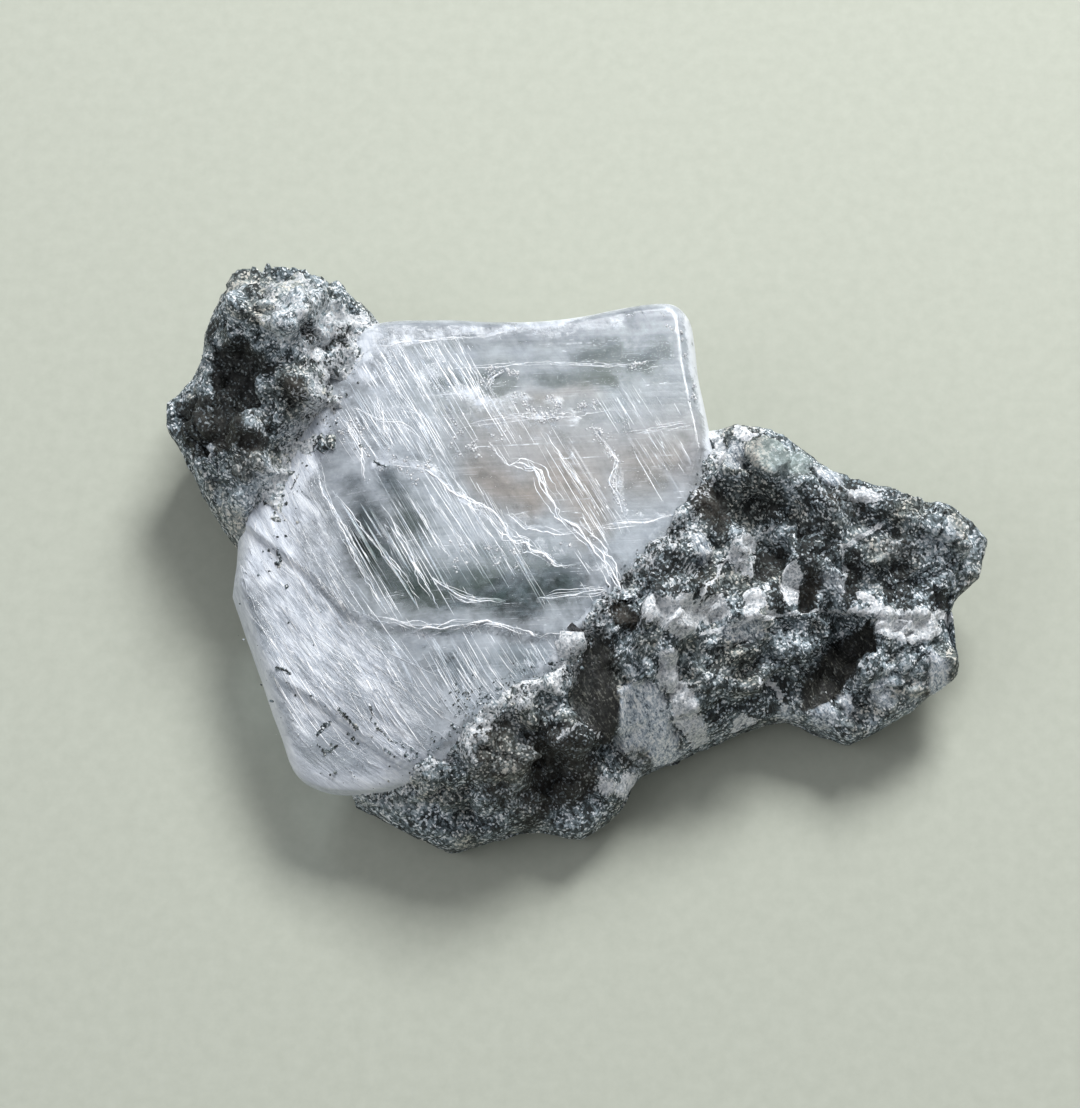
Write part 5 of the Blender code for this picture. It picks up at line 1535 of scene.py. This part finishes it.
def soft_light(name, place, size, power, tint):
    """A square lamp that faces the specimen's middle. Its place is in millimetres."""
    lamp = bpy.data.lights.new(name, "AREA")
    lamp.size = size * MM
    lamp.energy = power
    lamp.color = colour(tint)[:3]
    holder = bpy.data.objects.new(name, lamp)
    bpy.context.scene.collection.objects.link(holder)
    holder.location = np.array(place) * MM
    holder.rotation_euler = (-holder.location).to_track_quat("-Z", "Y").to_euler()


def studio():
    scene = bpy.context.scene
    world = bpy.data.worlds.new("soft_room")
    scene.world = world
    world.use_nodes = True
    background = world.node_tree.nodes["Background"]
    background.inputs["Color"].default_value = colour("#f2f5fa")
    background.inputs["Strength"].default_value = 0.32
    soft_light("window_key", (150, 390, 465), 240, 4.75, "#fbfdff")
    soft_light("room_fill", (-420, -120, 460), 420, 0.8, "#f4f7ff")
    scene.view_settings.view_transform = "Standard"


def camera():
    """Looks along +Y and down on the specimen, with the frame's width set at the broad face."""
    lens = bpy.data.cameras.new("camera")
    lens.sensor_fit = "HORIZONTAL"
    lens.sensor_width = SENSOR_WIDTH
    lens.lens = SENSOR_WIDTH * SPAN / FRAME_WIDTH
    lens.clip_start = 0.01
    holder = bpy.data.objects.new("camera", lens)
    bpy.context.scene.collection.objects.link(holder)
    back = np.array([0, -math.cos(ELEVATION), math.sin(ELEVATION)])
    holder.location = (np.array(TARGET) + SPAN * back) * MM
    holder.rotation_euler = (math.pi / 2 - ELEVATION, 0, 0)
    bpy.context.scene.camera = holder


# ---------------------------------------------------------------- making


def node_limits(node):
    """The lowest and highest corner of a CAD node, in millimetres from the datum."""
    return [np.array(corner) / MM + (*MIDDLE, 0.0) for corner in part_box(node)]


def main():
    studio()
    camera()
    floor()
    rng = np.random.default_rng(7)

    crystal = crystal_surface()
    mesh = crystal.build("selenite_crystal_clear", crystal_values(crystal))
    place("selenite_crystal_clear", mesh, selenite_material(), "selenite", "selenite_crystal")

    rock = host_rock_material()
    for name, node, ribs, heights, counts, border, crust in (
        ("knob_rock", "matrix_knob", KNOB_RIBS, knob_heights, KNOB_GRID, KNOB_BORDER, KNOB_CRUST),
        ("ledge_rock", "matrix_ledge", LEDGE_RIBS, ledge_heights, LEDGE_GRID, LEDGE_BORDER, LEDGE_CRUST),
    ):
        surface, values = rock_surface(ribs, heights, counts, border, crust, node_limits(node))
        place(name, surface.build(name, values), rock, "matrix", node)

    edge = parted_material("parted_cleavage_edge", None)
    film = parted_material("parted_cleavage_film", (0.1, 0.6))
    flake = parted_material("parted_cleavage_flake", (0.3, 0.95))
    films, silk = cleavage_films(rng), silk_strands(rng)
    strands, skirts = crack_parts(rng)
    for name, shape, finish, slot in (
        ("cleavage_films", films, edge, "selenite"),
        ("silk_strands", silk, edge, "selenite"),
        ("healed_cracks", strands, edge, "selenite"),
        ("crack_films", skirts, film, "selenite"),
        ("veil_flakes", veil_flakes(rng), flake, "selenite"),
        ("dark_specks", dark_specks(rng), rock, "matrix"),
    ):
        place(name, mesh_of(name, *shape), finish, slot)


main()
